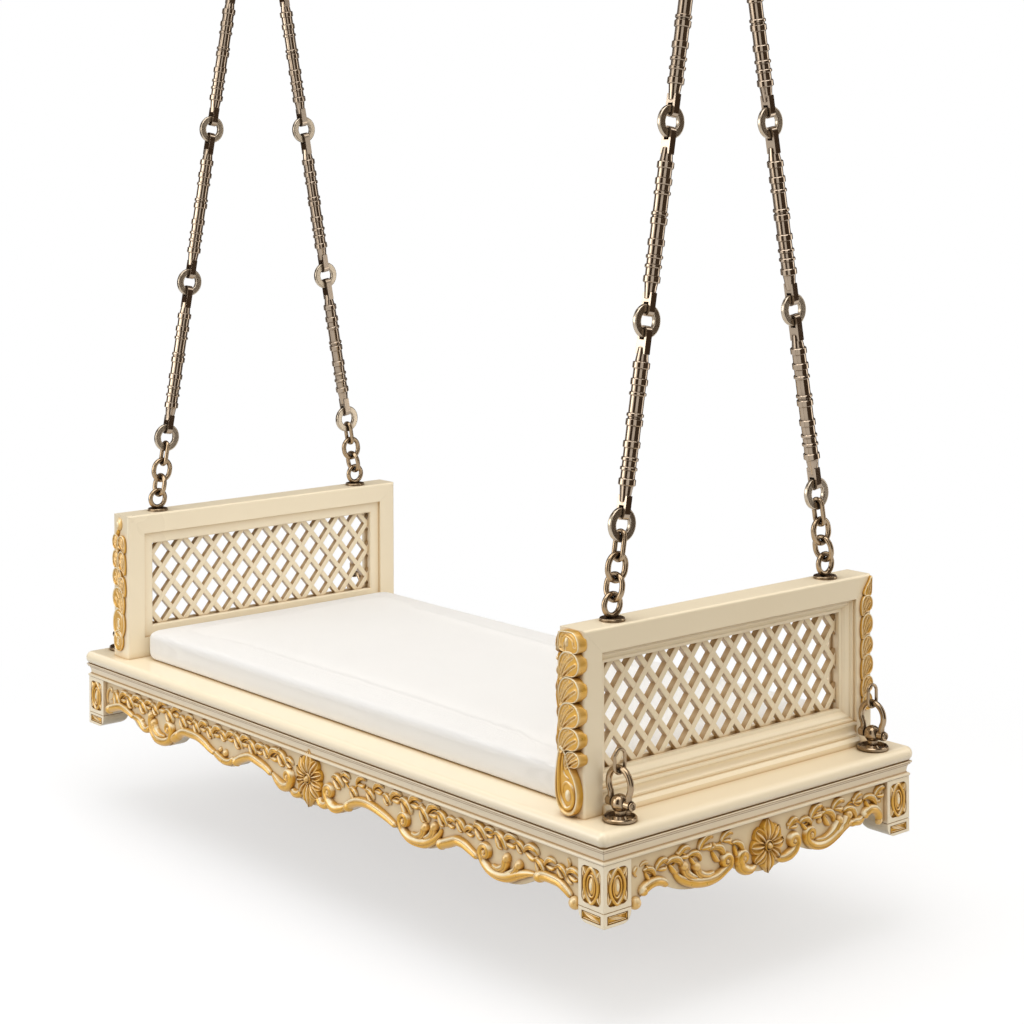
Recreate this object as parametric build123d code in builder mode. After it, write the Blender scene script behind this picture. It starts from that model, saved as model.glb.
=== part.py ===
from build123d import *
from math import asin, atan2, cos, degrees, radians, sin, sqrt
import os

# Jhoola swing: a carved, gilded platform seat with a lattice frame on each end, hung from two
# ceiling brackets by four chains of turned rods and flat rings.
#
# X runs along the seat, -Y is the front and Z is up. The origin lies on the ceiling, midway
# between the two brackets. Heights named here count from the bottom of the feet, and level()
# turns them into Z. All sizes are in millimetres.

# ---------------------------------------------------------------- platform
PLATFORM_LENGTH = 1524.0        # over the corner posts, along X
PLATFORM_DEPTH = 700.0          # over the corner posts, along Y
POST_SIZE = 56.0
POST_HEIGHT = 93.0
FOOT_HEIGHT = 22.0
FOOT_GROOVE = 1.2               # height and depth of the line between foot and post
FOOT_ROUND = 17.0               # on the foot's two inner bottom edges
PANEL_MARGIN = 7.0              # post face left round a recessed panel
PANEL_BOTTOM = 30.0
PANEL_RECESS = 4.0
PANEL_CORNER = 9.0
FOOT_PANEL_HEIGHT = 13.0
FOOT_PANEL_RECESS = 2.0
CORNICE_HEIGHT = 26.0
CORNICE_BEAD = 3.0              # radius of the bead along the cornice's foot
CORNICE_BEAD_PROUD = 1.5        # bead and lower fillet beyond the posts' face
CORNICE_NECK = 3.0              # neck above the bead, behind the posts' face
CORNICE_HOLLOW = 6.5            # height of the hollow's deepest part above the neck
CORNICE_RIDGE = 3.0             # height of each of the two fillets at its top
CORNICE_TOP_PROUD = 3.5         # top fillet beyond the posts' face
DECK_THICKNESS = 24.0
NOSING_OVERHANG = 8.0           # nosing beyond the posts
NOSING_WIDTH = 136.0
NOSING_CORNER = 14.0            # plan radius of the deck's corners
APRON_THICKNESS = 26.0
APRON_SETBACK = 8.0
EDGING_THICKNESS = 10.0
EDGING_WIDTH = 17.0
ROSETTE_THICKNESS = 13.0
END_BEARER_WIDTH = 60.0
MIDDLE_BEARER_WIDTH = 40.0
BEARER_DROP = 30.0              # how far the bearers reach below the cornice
JOINT_PLAY = 0.1                # clearance of pieces let into one another

# ---------------------------------------------------------------- end frames
FRAME_INSET = 64.0              # from the posts' end face to the frame's outer face
FRAME_THICKNESS = 56.0
FRAME_SETBACK = 20.0            # from the posts' front face to the frame's front edge
FRAME_HEIGHT = 283.0
MEMBER_WIDTH = 38.0             # stiles and rails, seen square on
MEMBER_ROUND = 4.0
RAIL_COVE = 4.0                 # depth of the hollow along the bottom rail
RAIL_COVE_RADIUS = 9.0
RAIL_COVE_HEIGHT = 26.0         # deck to the hollow's middle
SHOE_HEIGHT = 14.0
SHOE_PROJECTION = 8.0
MOULDING_WIDTH = 22.0
MOULDING_OUTER_RECESS = 6.0     # below the frame's outer face, at the stile
MOULDING_INNER_RECESS = 6.0     # below the frame's seat-side face
MOULDING_EDGE = 2.0             # bevel and fillet of its arrises
MOULDING_HOLLOW = (             # (from its inner edge, below its outer face), inner edge first
    (0.0, 14.0),
    (5.0, 13.0),
    (9.0, 8.0),
    (13.0, 5.0),
    (16.0, 4.5),
)
JALI_THICKNESS = 13.0
JALI_OUTER_RECESS = 28.0        # below the frame's outer face
JALI_TONGUE = 6.0               # how far the lattice sits inside the moulding
JALI_PITCH_Y = 48.5
JALI_PITCH_Z = 57.5
JALI_HOLE_SHARE = 0.73          # hole size over pitch, which sets the slats' width

# ---------------------------------------------------------------- carved strips
RIGHT_CARVING_DEPTH = 14.0      # carved lobes in front of the right stile
RIGHT_CARVING_WRAP = 6.0        # how far they roll back past the stile's corner
LEFT_CARVING_DEPTH = 6.0
BACK_CARVING_DEPTH = 6.0
CARVING_LAP = 0.6               # neighbouring lobes run into one another
STEM_DEPTH = 4.0

# ---------------------------------------------------------------- mattress
MATTRESS_THICKNESS = 58.0
MATTRESS_END_GAP = 4.0
MATTRESS_SETBACK = 46.0         # from the posts' front face
MATTRESS_ROUND = 9.0
MATTRESS_CORNER = 20.0          # plan radius of its corners
SOFT_GAP = 0.3

# ---------------------------------------------------------------- hanging gear
EYE_INSET = 85.0                # from the frame's front edge to the eye's centre
EYE_PLATE_DIAMETER = 40.0
EYE_PLATE_THICKNESS = 5.0
EYE_PLATE_ROUND = 2.0
EYE_RING_DIAMETER = 42.0
EYE_WIRE = 9.0
EYE_CENTRE_HEIGHT = 24.0        # above the rail
EYE_SHANK = 8.0
EYE_SHANK_LENGTH = 30.0
LINK_B = (48.0, 44.0, 9.0)      # length, width, wire
LINK_C = (50.0, 46.0, 9.5)
LINK_D = (52.0, 27.0, 8.0)
LINK_PLAY = 0.15
RING_DIAMETER = 55.0
RING_HOLE = 29.0
RING_THICKNESS = 8.5
RING_EDGE = 2.5
RING_PITCH = 316.0
RODS_PER_CHAIN = 4
ROD_DIAMETER = 23.0
ROD_COLLAR_DIAMETER = 27.5
ROD_COLLAR_BEVEL = 1.2
ROD_NECK_DIAMETER = 16.0
ROD_SHOULDER_DIAMETER = 21.5
ROD_STRAP_LENGTH_LOW = 35.0     # from the ring's centre to the end of the lower strap
ROD_STRAP_LENGTH_HIGH = 42.0
ROD_CONE_LOW = 25.0
ROD_CONE_HIGH = 22.0
STRAP_WIDTH = 12.0
STRAP_THICKNESS = 4.5
STRAP_INNER_RADIUS = 5.25
STRAP_ROOT = 10.0               # the straps' roots run this far up the cones
STRAP_CLEARANCE = 2.0           # end of the strap's slot beyond the ring's rim
STRAP_SEAT = 1.6                # strap crown clear of the hole, where the ring's shoulders touch it
LINK_SEAT = 0.6
TOP_STRAP_SEAT = 1.0
# Collars up the rod, as (height above the lower ring's centre, width).
ROD_COLLARS = (
    (65.5, 11.0),
    (86.0, 6.0),
    (101.0, 6.0),
    (123.5, 11.0),
    (157.5, 11.0),
    (169.0, 6.0),
    (202.0, 6.0),
    (220.5, 11.0),
    (246.5, 11.0),
)
TOP_RING_DIAMETER = 76.0
TOP_RING_WIRE = 10.0
TOP_SEAT_Y = 8.0                # straps side by side on the top ring
HOOK_WIRE = 14.0
HOOK_INNER_RADIUS = 12.0
HOOK_DROP = 92.0                # pin centre to saddle wire centre
HOOK_BEND = 12.0
HOOK_TIP_RISE = 11.0
HOOK_SHANK = (3.0, 12.0, 18.0)  # start inside the eye, straight below it, straight above the saddle
HOOK_EYE_DIAMETER = 38.0
HOOK_EYE_EDGE = 2.0
HOOK_EYE_WIDTH = 16.0
HOOK_TIP_DIAMETER = 16.0
PIN_DIAMETER = 14.0
PIN_PLAY = 0.1                  # radial
PIN_DROP = 38.0                 # ceiling to pin centre
PIN_HEAD_DIAMETER = 22.0
PIN_HEAD_THICKNESS = 5.0
NUT_SIZE = 22.0                 # across flats
NUT_THICKNESS = 9.0
PIN_END = 3.0                   # pin beyond its nut
BRACKET_DIAMETER = 110.0
BRACKET_THICKNESS = 8.0
BRACKET_HOLE = 6.5
BRACKET_PCD = 84.0
EAR_THICKNESS = 8.0
EAR_WIDTH = 38.0
EAR_GAP = 1.5                   # each side of the hook's eye

# ---------------------------------------------------------------- deck anchors
ANCHOR_SETBACK = 40.0           # from the frame's front edge to the stud's centre
ANCHOR_INSET = 28.5             # from the posts' end face to the stud's centre
FLANGE_DIAMETER = 53.0
FLANGE_HEIGHT = 7.0
FLANGE_DISH = 4.5
FLANGE_RIM = 3.0                # width of the flat rim round the dish
FLANGE_BEVEL = 1.5
DISH_SLOPE = 1.0                # from the rim to the dish's floor
NECK_FLARE = 3.0                # the neck spreads by this towards the dish
BALL_DIAMETER = 28.0
BALL_HEIGHT = 26.0              # deck to ball centre
NECK_DIAMETER = 18.0
STUD_SHANK = 8.0
STUD_SHANK_LENGTH = 20.0
SHACKLE_WIRE = 10.0
SHACKLE_LEG_X = 19.6
SHACKLE_BOW_RADIUS = 24.0
SHACKLE_BOW_CENTRE = 28.5       # above the pin
SHACKLE_SHOULDER = 8.0
SHACKLE_EYE_DIAMETER = 16.0
SHACKLE_EYE_WIDTH = 10.4
SHACKLE_PIN = 8.0
SHACKLE_PIN_PLAY = 0.05         # radial
SHACKLE_SIDE_GAP = 0.3
PIN_LIP = 1.5                   # the pin's plain head beyond the pin, all round
PIN_LIP_THICKNESS = 2.5
PIN_RING_DIAMETER = 14.0
PIN_RING_WIRE = 4.0
SPARE_LINK = (42.0, 26.0, 5.5)

# ---------------------------------------------------------------- bolts
BOLT_DIAMETER = 8.0
BOLT_HEAD = 13.0                # across flats
BOLT_HEAD_HEIGHT = 5.5
BOLT_MARGIN = 72.0              # from the frame's opening to the outer bolts
BOLT_REACH = 30.0               # into the bottom rail

# ---------------------------------------------------------------- scalloped outlines
# Each outline runs left to right along the apron's lower edge. Each entry is one arc, given by
# its middle and its end, as (place along the apron, height above the feet). The places are drawn
# for an apron of the given half run, and stretch with it.
FRONT_HALF_RUN = 706.0
FRONT_START = (-694.0, 27.0)
FRONT_ARCS = (
    ((-648, 45), (-599, 35)),
    ((-560, 20), (-536, 27)),
    ((-494, 10), (-448, 20)),
    ((-400, 44), (-306, 27)),
    ((-262, 18), (-234, 24)),
    ((-188, 43), (-116, 28)),
    ((-82, 16), (-50, 16)),
    ((2, 9), (52, 16)),
    ((76, 12), (106, 20)),
    ((165, 41), (254, 24)),
    ((308, 11), (362, 22)),
    ((412, 38), (465, 25)),
    ((513, 10), (596, 28)),
    ((640, 38), (678, 24)),
    ((691, 10), (702, 24)),
)
FRONT_VOLUTES = (
    (-462, 46, 13.0),
    (-60, 46, 11.0),
    (64, 44, 11.0),
    (274, 46, 13.0),
    (484, 45, 13.0),
    (691, 21, 10.5),
)
END_HALF_RUN = 294.0
END_START = (-290.0, 26.0)
END_ARCS = (
    ((-280, 12), (-269, 27)),
    ((-242, 38), (-212, 31)),
    ((-140, 15), (-74, 31)),
    ((-50, 19), (-34, 15)),
    ((5, 9), (42, 15)),
    ((60, 17), (80, 31)),
    ((130, 15), (206, 36)),
    ((222, 33), (238, 40)),
    ((260, 48), (281, 26)),
)
END_VOLUTES = (
    (-280, 23, 10.0),
    (-87, 43, 11.0),
    (-50, 43, 9.0),
    (66, 43, 10.0),
    (106, 45, 11.0),
)
FRONT_ROSETTE = {"height": 56.0, "petals": 10, "reach": 43.0, "petal": 19.0, "crown": 52.0}
END_ROSETTE = {"height": 50.0, "petals": 8, "reach": 38.0, "petal": 19.0, "crown": 43.0}
ROSETTE_BOSS = 13.0
ROSETTE_BOSS_RISE = 2.0
PETAL_NARROW = 0.62             # a petal's width over its length
CROWN_NARROW = 0.75             # the same for the top petal
MEDALLION_LENGTH = 44.0
MEDALLION_WIDTH = 25.0
MEDALLION_GROUND = 1.2
MEDALLION_RISE = 2.3
MEDALLION_BOSS = (5.0, 6.25, 0.5)   # half width, half height and rise of its middle

# Lobes of the carved strips, as (distance in from the frame's outer face, height of the middle
# above the deck, half width, half height).
RIGHT_LOBES = (
    (20.5, 266.0, 23.5, 15.0),
    (20.5, 231.5, 23.5, 20.5),
    (20.5, 192.5, 23.5, 20.0),
    (20.5, 154.5, 23.5, 20.0),
    (20.5, 118.5, 23.5, 18.0),
    (14.0, 89.0, 17.0, 13.0),
    (26.0, 66.0, 15.0, 25.0),
    (25.0, 26.0, 24.0, 24.5),
)
LEFT_LOBES = (
    (24.0, 261.0, 13.0, 15.0),
    (26.0, 230.0, 23.0, 17.0),
    (26.0, 196.0, 23.0, 21.0),
    (26.0, 160.0, 20.0, 19.0),
    (25.0, 120.0, 23.0, 24.0),
    (26.0, 72.0, 22.0, 34.0),
    (26.0, 36.0, 20.0, 23.0),
)
STEM = (48.0, 165.0, 7.5, 105.0)
# Lobes of the back strips, as (distance in from the frame's back face, height, half width, half
# height).
BACK_LOBES = (
    (14.0, 264.0, 9.0, 17.0),
    (15.0, 234.5, 13.0, 15.5),
    (15.0, 200.5, 13.0, 19.5),
    (15.0, 165.0, 13.0, 18.0),
    (15.0, 131.5, 13.5, 19.0),
    (15.0, 98.5, 13.0, 16.5),
    (15.0, 70.0, 12.0, 16.0),
)

# ---------------------------------------------------------------- worked-out sizes
CORNICE_BOTTOM = POST_HEIGHT
DECK_BOTTOM = POST_HEIGHT + CORNICE_HEIGHT
DECK_TOP = DECK_BOTTOM + DECK_THICKNESS
RAIL_TOP = DECK_TOP + FRAME_HEIGHT
HALF_LENGTH = PLATFORM_LENGTH / 2
HALF_DEPTH = PLATFORM_DEPTH / 2
DECK_X = HALF_LENGTH + NOSING_OVERHANG
DECK_Y = HALF_DEPTH + NOSING_OVERHANG
APRON_RUN_X = HALF_LENGTH - POST_SIZE
APRON_RUN_Y = HALF_DEPTH - POST_SIZE
APRON_BACK_Y = HALF_DEPTH - APRON_SETBACK - APRON_THICKNESS
PANEL_WIDTH = POST_SIZE - 2 * PANEL_MARGIN
PANEL_HEIGHT = POST_HEIGHT - PANEL_BOTTOM - PANEL_MARGIN
BEARER_BOTTOM = CORNICE_BOTTOM - BEARER_DROP
FRAME_OUTER_X = HALF_LENGTH - FRAME_INSET
FRAME_INNER_X = FRAME_OUTER_X - FRAME_THICKNESS
FRAME_X = (FRAME_OUTER_X + FRAME_INNER_X) / 2
FRAME_Y = HALF_DEPTH - FRAME_SETBACK
OPENING_Y = FRAME_Y - MEMBER_WIDTH
OPENING_BOTTOM = DECK_TOP + MEMBER_WIDTH
OPENING_TOP = RAIL_TOP - MEMBER_WIDTH
OPENING_HEIGHT = OPENING_TOP - OPENING_BOTTOM
MIDDLE_BEARER_SPACING = FRAME_X / 2
BOLT_SPACING = OPENING_Y - BOLT_MARGIN
MATTRESS_X = FRAME_INNER_X - MATTRESS_END_GAP
MATTRESS_Y = HALF_DEPTH - MATTRESS_SETBACK
EYE_Y = FRAME_Y - EYE_INSET
ANCHOR_X = HALF_LENGTH - ANCHOR_INSET
ANCHOR_Y = FRAME_Y - ANCHOR_SETBACK
PIN_HEIGHT = DECK_TOP + BALL_HEIGHT
EAR_OUTER = HOOK_EYE_WIDTH / 2 + EAR_GAP + EAR_THICKNESS

# Along a chain, each station is measured from the eye's centre.
EYE_RADIUS = (EYE_RING_DIAMETER - EYE_WIRE) / 2
B_LOW = EYE_RADIUS - (EYE_WIRE + LINK_B[2]) / 2 - LINK_PLAY
B_HIGH = B_LOW + LINK_B[0] - LINK_B[2]
C_LOW = B_HIGH - (LINK_B[2] + LINK_C[2]) / 2 - LINK_PLAY
C_HIGH = C_LOW + LINK_C[0] - LINK_C[2]
D_LOW = C_HIGH - (LINK_C[2] + LINK_D[2]) / 2 - LINK_PLAY
D_HIGH = D_LOW + LINK_D[0] - LINK_D[2]
FIRST_RING = D_HIGH + RING_HOLE / 2 - LINK_D[2] / 2 - LINK_SEAT
STRAP_CROWN = sqrt(RING_HOLE**2 - STRAP_WIDTH**2) / 2 - STRAP_SEAT
STRAP_SLOT = RING_DIAMETER / 2 - STRAP_CROWN + STRAP_CLEARANCE
ROD_SPAN = RING_PITCH - 2 * STRAP_CROWN
TOP_CROWN = TOP_RING_WIRE / 2 + TOP_STRAP_SEAT
CHAIN_LENGTH = FIRST_RING + (RODS_PER_CHAIN - 1) * RING_PITCH + STRAP_CROWN + ROD_SPAN - TOP_CROWN
LEAN = asin((EYE_Y - TOP_SEAT_Y) / CHAIN_LENGTH)

EYE_HEIGHT = RAIL_TOP + EYE_CENTRE_HEIGHT
TOP_RING_RADIUS = (TOP_RING_DIAMETER - TOP_RING_WIRE) / 2
TOP_RING_HEIGHT = (
    EYE_HEIGHT + CHAIN_LENGTH * cos(LEAN) + sqrt(TOP_RING_RADIUS**2 - TOP_SEAT_Y**2)
)
SADDLE_HEIGHT = TOP_RING_HEIGHT + TOP_RING_RADIUS - (TOP_RING_WIRE + HOOK_WIRE) / 2 - LINK_PLAY
HINGE_HEIGHT = SADDLE_HEIGHT + HOOK_DROP
CEILING_HEIGHT = HINGE_HEIGHT + PIN_DROP

ENDS = {"left": -1, "right": 1}
SIDES = {"front": -1, "back": 1}


def level(height):
    """Z of a height above the bottom of the feet."""
    return height - CEILING_HEIGHT


def save(builder, name):
    """Label one finished piece and write it out."""
    builder.part.label = name
    export_step(builder.part, f"parts/{name}.step")


os.makedirs("parts", exist_ok=True)


# ================================================================ shared shapes
def half_turn(solids):
    """The same pieces turned half round about the vertical axis."""
    return [solid.rotate(Axis.Z, 180) for solid in solids]


def other_end(solids):
    """The same pieces mirrored to the other end of the seat."""
    return [solid.mirror(Plane.YZ) for solid in solids]


def oval_link(size, start, plane):
    """A welded oval link, its lower wire's centre at start along the plane's y."""
    length, width, wire = size
    bend = (width - wire) / 2
    low = start + bend
    high = start + length - wire - bend
    with BuildPart() as link:
        with BuildLine(plane) as path:
            Line((bend, low), (bend, high))
            ThreePointArc((bend, high), (0, high + bend), (-bend, high))
            Line((-bend, high), (-bend, low))
            ThreePointArc((-bend, low), (0, low - bend), (bend, low))
        with BuildSketch(Plane(origin=path.line @ 0, z_dir=path.line % 0)):
            Circle(wire / 2)
        sweep(path=path.line)
    return link.part


def mitre_wedge(outer, inner, half_run, reach, bottom, top):
    """The room of a front board between its two mitres: outer is the deck's front line."""
    shift = outer + half_run
    with BuildPart() as wedge:
        with BuildSketch(Plane.XY.offset(bottom)):
            with BuildLine():
                Polyline(
                    (shift - outer + reach, outer - reach),
                    (-(shift - outer) - reach, outer - reach),
                    (-(half_run - (inner - outer)), inner),
                    (half_run - (inner - outer), inner),
                    close=True,
                )
            make_face()
        extrude(amount=top - bottom)
    return wedge.part


# ================================================================ platform: deck and mouldings
def bolt_places():
    """Centres of the bolts that hold the end frames down."""
    return [(end * FRAME_X, row * BOLT_SPACING) for end in ENDS.values() for row in (-1, 0, 1)]


def anchor_places():
    """Centres of the four deck anchors."""
    return [(end * ANCHOR_X, side * ANCHOR_Y) for end in ENDS.values() for side in SIDES.values()]


def nosing_ring():
    """The four nosing boards in one, with their rounded edge and their holes."""
    with BuildPart() as ring:
        with BuildSketch(Plane.XY.offset(level(DECK_BOTTOM))):
            RectangleRounded(2 * DECK_X, 2 * DECK_Y, NOSING_CORNER)
        extrude(amount=DECK_THICKNESS)
        rim = ring.edges().group_by(Axis.Z)[0] + ring.edges().group_by(Axis.Z)[-1]
        fillet(rim, DECK_THICKNESS / 2 - 0.1)
        with BuildSketch(Plane.XY.offset(level(DECK_BOTTOM))):
            Rectangle(2 * (DECK_X - NOSING_WIDTH), 2 * (DECK_Y - NOSING_WIDTH))
        extrude(amount=DECK_THICKNESS, mode=Mode.SUBTRACT)
        with BuildSketch(Plane.XY.offset(level(DECK_BOTTOM))):
            with Locations(*bolt_places()):
                Circle(BOLT_DIAMETER / 2 + JOINT_PLAY)
        extrude(amount=DECK_THICKNESS, mode=Mode.SUBTRACT)
        with BuildSketch(Plane.XY.offset(level(DECK_TOP))):
            with Locations(*anchor_places()):
                Circle(STUD_SHANK / 2 + JOINT_PLAY)
        extrude(amount=-STUD_SHANK_LENGTH - JOINT_PLAY, mode=Mode.SUBTRACT)
    return ring.part


def front_board_room():
    """The room of the front nosing board between its mitres."""
    return mitre_wedge(
        -DECK_Y, -DECK_Y + NOSING_WIDTH, DECK_X, 0.0, level(DECK_BOTTOM) - 1, level(DECK_TOP) + 1
    )


with BuildPart() as nosing_front:
    add(nosing_ring())
    add(front_board_room(), mode=Mode.INTERSECT)
save(nosing_front, "nosing_front")

with BuildPart() as nosing_back:
    add(half_turn(nosing_front.solids()))
save(nosing_back, "nosing_back")

with BuildPart() as nosing_ends:
    add(nosing_ring())
    add(front_board_room(), mode=Mode.SUBTRACT)
    add(front_board_room().rotate(Axis.Z, 180), mode=Mode.SUBTRACT)
save(nosing_ends, "nosing_ends")

with BuildPart() as deck_panel:
    with BuildSketch(Plane.XY.offset(level(DECK_BOTTOM))):
        Rectangle(2 * (DECK_X - NOSING_WIDTH), 2 * (DECK_Y - NOSING_WIDTH))
    extrude(amount=DECK_THICKNESS)
save(deck_panel, "deck_panel")


def cornice_run(outer, run):
    """A straight cornice moulding along X: a bead at its foot, a hollow and two fillets."""
    bead = outer - CORNICE_BEAD_PROUD
    bead_back = outer + CORNICE_BEAD_PROUD
    neck = outer + CORNICE_NECK
    top = outer - CORNICE_TOP_PROUD
    back = outer + POST_SIZE
    low = level(CORNICE_BOTTOM)
    bead_top = low + 2 * CORNICE_BEAD
    neck_top = bead_top + CORNICE_BEAD_PROUD
    high = level(DECK_BOTTOM)
    lip = high - 2 * CORNICE_RIDGE
    with BuildPart() as moulding:
        with BuildSketch(Plane.YZ.offset(-run)):
            with BuildLine():
                Line((back, low), (bead_back, low))
                ThreePointArc((bead_back, low), (bead, low + CORNICE_BEAD), (bead_back, bead_top))
                Line((bead_back, bead_top), (neck, neck_top))
                ThreePointArc((neck, neck_top), (neck - 0.6, neck_top + CORNICE_HOLLOW), (outer, lip))
                Polyline(
                    (outer, lip),
                    (bead, lip),
                    (bead, high - CORNICE_RIDGE),
                    (top, high - CORNICE_RIDGE),
                    (top, high),
                    (back, high),
                    (back, low),
                )
            make_face()
        extrude(amount=2 * run)
    return moulding.part


def mitred_cornice(outer, half_run):
    """A cornice moulding along X, cut off at 45 degrees at both ends."""
    reach = 2 * CORNICE_TOP_PROUD
    low = level(CORNICE_BOTTOM) - 1
    high = level(DECK_BOTTOM) + 1
    with BuildPart() as moulding:
        add(cornice_run(outer, half_run + reach))
        add(
            mitre_wedge(outer, outer + POST_SIZE, half_run, reach, low, high),
            mode=Mode.INTERSECT,
        )
    return moulding.part


with BuildPart() as cornice_front:
    add(mitred_cornice(-HALF_DEPTH, HALF_LENGTH))
save(cornice_front, "cornice_front")

with BuildPart() as cornice_back:
    add(half_turn(cornice_front.solids()))
save(cornice_back, "cornice_back")


with BuildPart() as cornice_ends:
    add(mitred_cornice(-HALF_LENGTH, HALF_DEPTH).rotate(Axis.Z, -90))
    add(half_turn(cornice_ends.solids()))
save(cornice_ends, "cornice_ends")


# ================================================================ platform: aprons
FRONT_OUTLINE = (FRONT_HALF_RUN, FRONT_START, FRONT_ARCS)
END_OUTLINE = (END_HALF_RUN, END_START, END_ARCS)


def apron_face(outline, half_run, lift, plane):
    """A sketch of the apron below its top edge, with the scallops raised by lift."""
    drawn_run, start, arcs = outline
    stretch = half_run / drawn_run
    top = level(POST_HEIGHT)
    with BuildSketch(plane) as face:
        with BuildLine():
            here = (start[0] * stretch, level(start[1] + lift))
            Line((-half_run, top), (-half_run, here[1]))
            Line((-half_run, here[1]), here)
            for middle, end in arcs:
                end_point = (end[0] * stretch, level(end[1] + lift))
                middle_point = (middle[0] * stretch, level(middle[1] + lift))
                ThreePointArc(here, middle_point, end_point)
                here = end_point
            Line(here, (half_run, here[1]))
            Line((half_run, here[1]), (half_run, top))
            Line((half_run, top), (-half_run, top))
        make_face()
    return face.sketch


def apron_plane(half_width):
    """The face of an apron along X, set back from the posts' front."""
    return Plane(origin=(0, -half_width + APRON_SETBACK, 0), x_dir=(1, 0, 0), z_dir=(0, -1, 0))


def apron_board(outline, half_run, half_width):
    """A scalloped board along X."""
    with BuildPart() as board:
        face = apron_face(outline, half_run, 0.0, apron_plane(half_width))
        extrude(face, amount=-APRON_THICKNESS)
    return board.part


def scroll_edging(outline, volutes, half_run, half_width):
    """The carved edging planted along the scallops, with the scrolls' round ends."""
    plane = apron_plane(half_width)
    with BuildPart() as edging:
        low = apron_face(outline, half_run, 0.0, plane)
        high = apron_face(outline, half_run, EDGING_WIDTH, plane)
        extrude(low, amount=EDGING_THICKNESS)
        extrude(high, amount=EDGING_THICKNESS, mode=Mode.SUBTRACT)
        with BuildSketch(plane):
            for along, height, radius in volutes:
                with Locations((along * half_run / outline[0], level(height))):
                    Circle(radius)
        extrude(amount=EDGING_THICKNESS)
    return edging.part


with BuildPart() as apron_front:
    add(apron_board(FRONT_OUTLINE, APRON_RUN_X, HALF_DEPTH))
save(apron_front, "apron_front")

with BuildPart() as apron_back:
    add(half_turn(apron_front.solids()))
save(apron_back, "apron_back")

with BuildPart() as apron_ends:
    add(apron_board(END_OUTLINE, APRON_RUN_Y, HALF_LENGTH).rotate(Axis.Z, 90))
    add(half_turn(apron_ends.solids()))
save(apron_ends, "apron_ends")


# ================================================================ platform: rosettes and edging
def rosette(style, half_width):
    """A fan of petals round a boss, planted on the apron's face and over the cornice."""
    plane = apron_plane(half_width)
    middle = level(style["height"])
    petal = style["petal"]
    ring = style["reach"] - petal
    wide = 2 * style["reach"]
    face = -half_width + APRON_SETBACK
    crown_back = -half_width - CORNICE_TOP_PROUD - JOINT_PLAY
    with BuildPart() as fan:
        with BuildSketch(plane):
            with Locations((0, middle)):
                with PolarLocations(ring, style["petals"], start_angle=90):
                    Ellipse(petal, petal * PETAL_NARROW)
                Circle(ring)
            with Locations((0, middle + style["crown"] - petal)):
                Ellipse(petal * CROWN_NARROW, petal)
        extrude(amount=ROSETTE_THICKNESS)
        with BuildSketch(plane.offset(ROSETTE_THICKNESS)):
            with Locations((0, middle)):
                Circle(ROSETTE_BOSS / 2)
        extrude(amount=ROSETTE_BOSS_RISE)
        add(cornice_run(-half_width, wide), mode=Mode.SUBTRACT)
        with BuildSketch(Plane.YZ.offset(-wide)):
            with BuildLine():
                Polyline(
                    (face, level(CORNICE_BOTTOM)),
                    (crown_back, level(CORNICE_BOTTOM)),
                    (crown_back, level(DECK_BOTTOM)),
                    (face, level(DECK_BOTTOM)),
                    close=True,
                )
            make_face()
        extrude(amount=2 * wide, mode=Mode.SUBTRACT)
    return fan.part


with BuildPart() as rosettes:
    add(rosette(FRONT_ROSETTE, HALF_DEPTH))
    add(rosette(FRONT_ROSETTE, HALF_DEPTH).rotate(Axis.Z, 180))
    add(rosette(END_ROSETTE, HALF_LENGTH).rotate(Axis.Z, 90))
    add(rosette(END_ROSETTE, HALF_LENGTH).rotate(Axis.Z, -90))
save(rosettes, "rosettes")

with BuildPart() as edging_front:
    add(scroll_edging(FRONT_OUTLINE, FRONT_VOLUTES, APRON_RUN_X, HALF_DEPTH))
    add(rosette(FRONT_ROSETTE, HALF_DEPTH), mode=Mode.SUBTRACT)
save(edging_front, "edging_front")

with BuildPart() as edging_back:
    add(half_turn(edging_front.solids()))
save(edging_back, "edging_back")

with BuildPart() as edging_ends:
    add(scroll_edging(END_OUTLINE, END_VOLUTES, APRON_RUN_Y, HALF_LENGTH).rotate(Axis.Z, 90))
    add(rosette(END_ROSETTE, HALF_LENGTH).rotate(Axis.Z, 90), mode=Mode.SUBTRACT)
    add(half_turn(edging_ends.solids()))
save(edging_ends, "edging_ends")


# ================================================================ platform: posts and medallions
def post_planes():
    """The two outer faces of the front right post, each with its middle as the origin."""
    middle_x = HALF_LENGTH - POST_SIZE / 2
    middle_y = -HALF_DEPTH + POST_SIZE / 2
    return (
        Plane(origin=(middle_x, -HALF_DEPTH, level(0)), x_dir=(1, 0, 0), z_dir=(0, -1, 0)),
        Plane(origin=(HALF_LENGTH, middle_y, level(0)), x_dir=(0, 1, 0), z_dir=(1, 0, 0)),
    )


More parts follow.
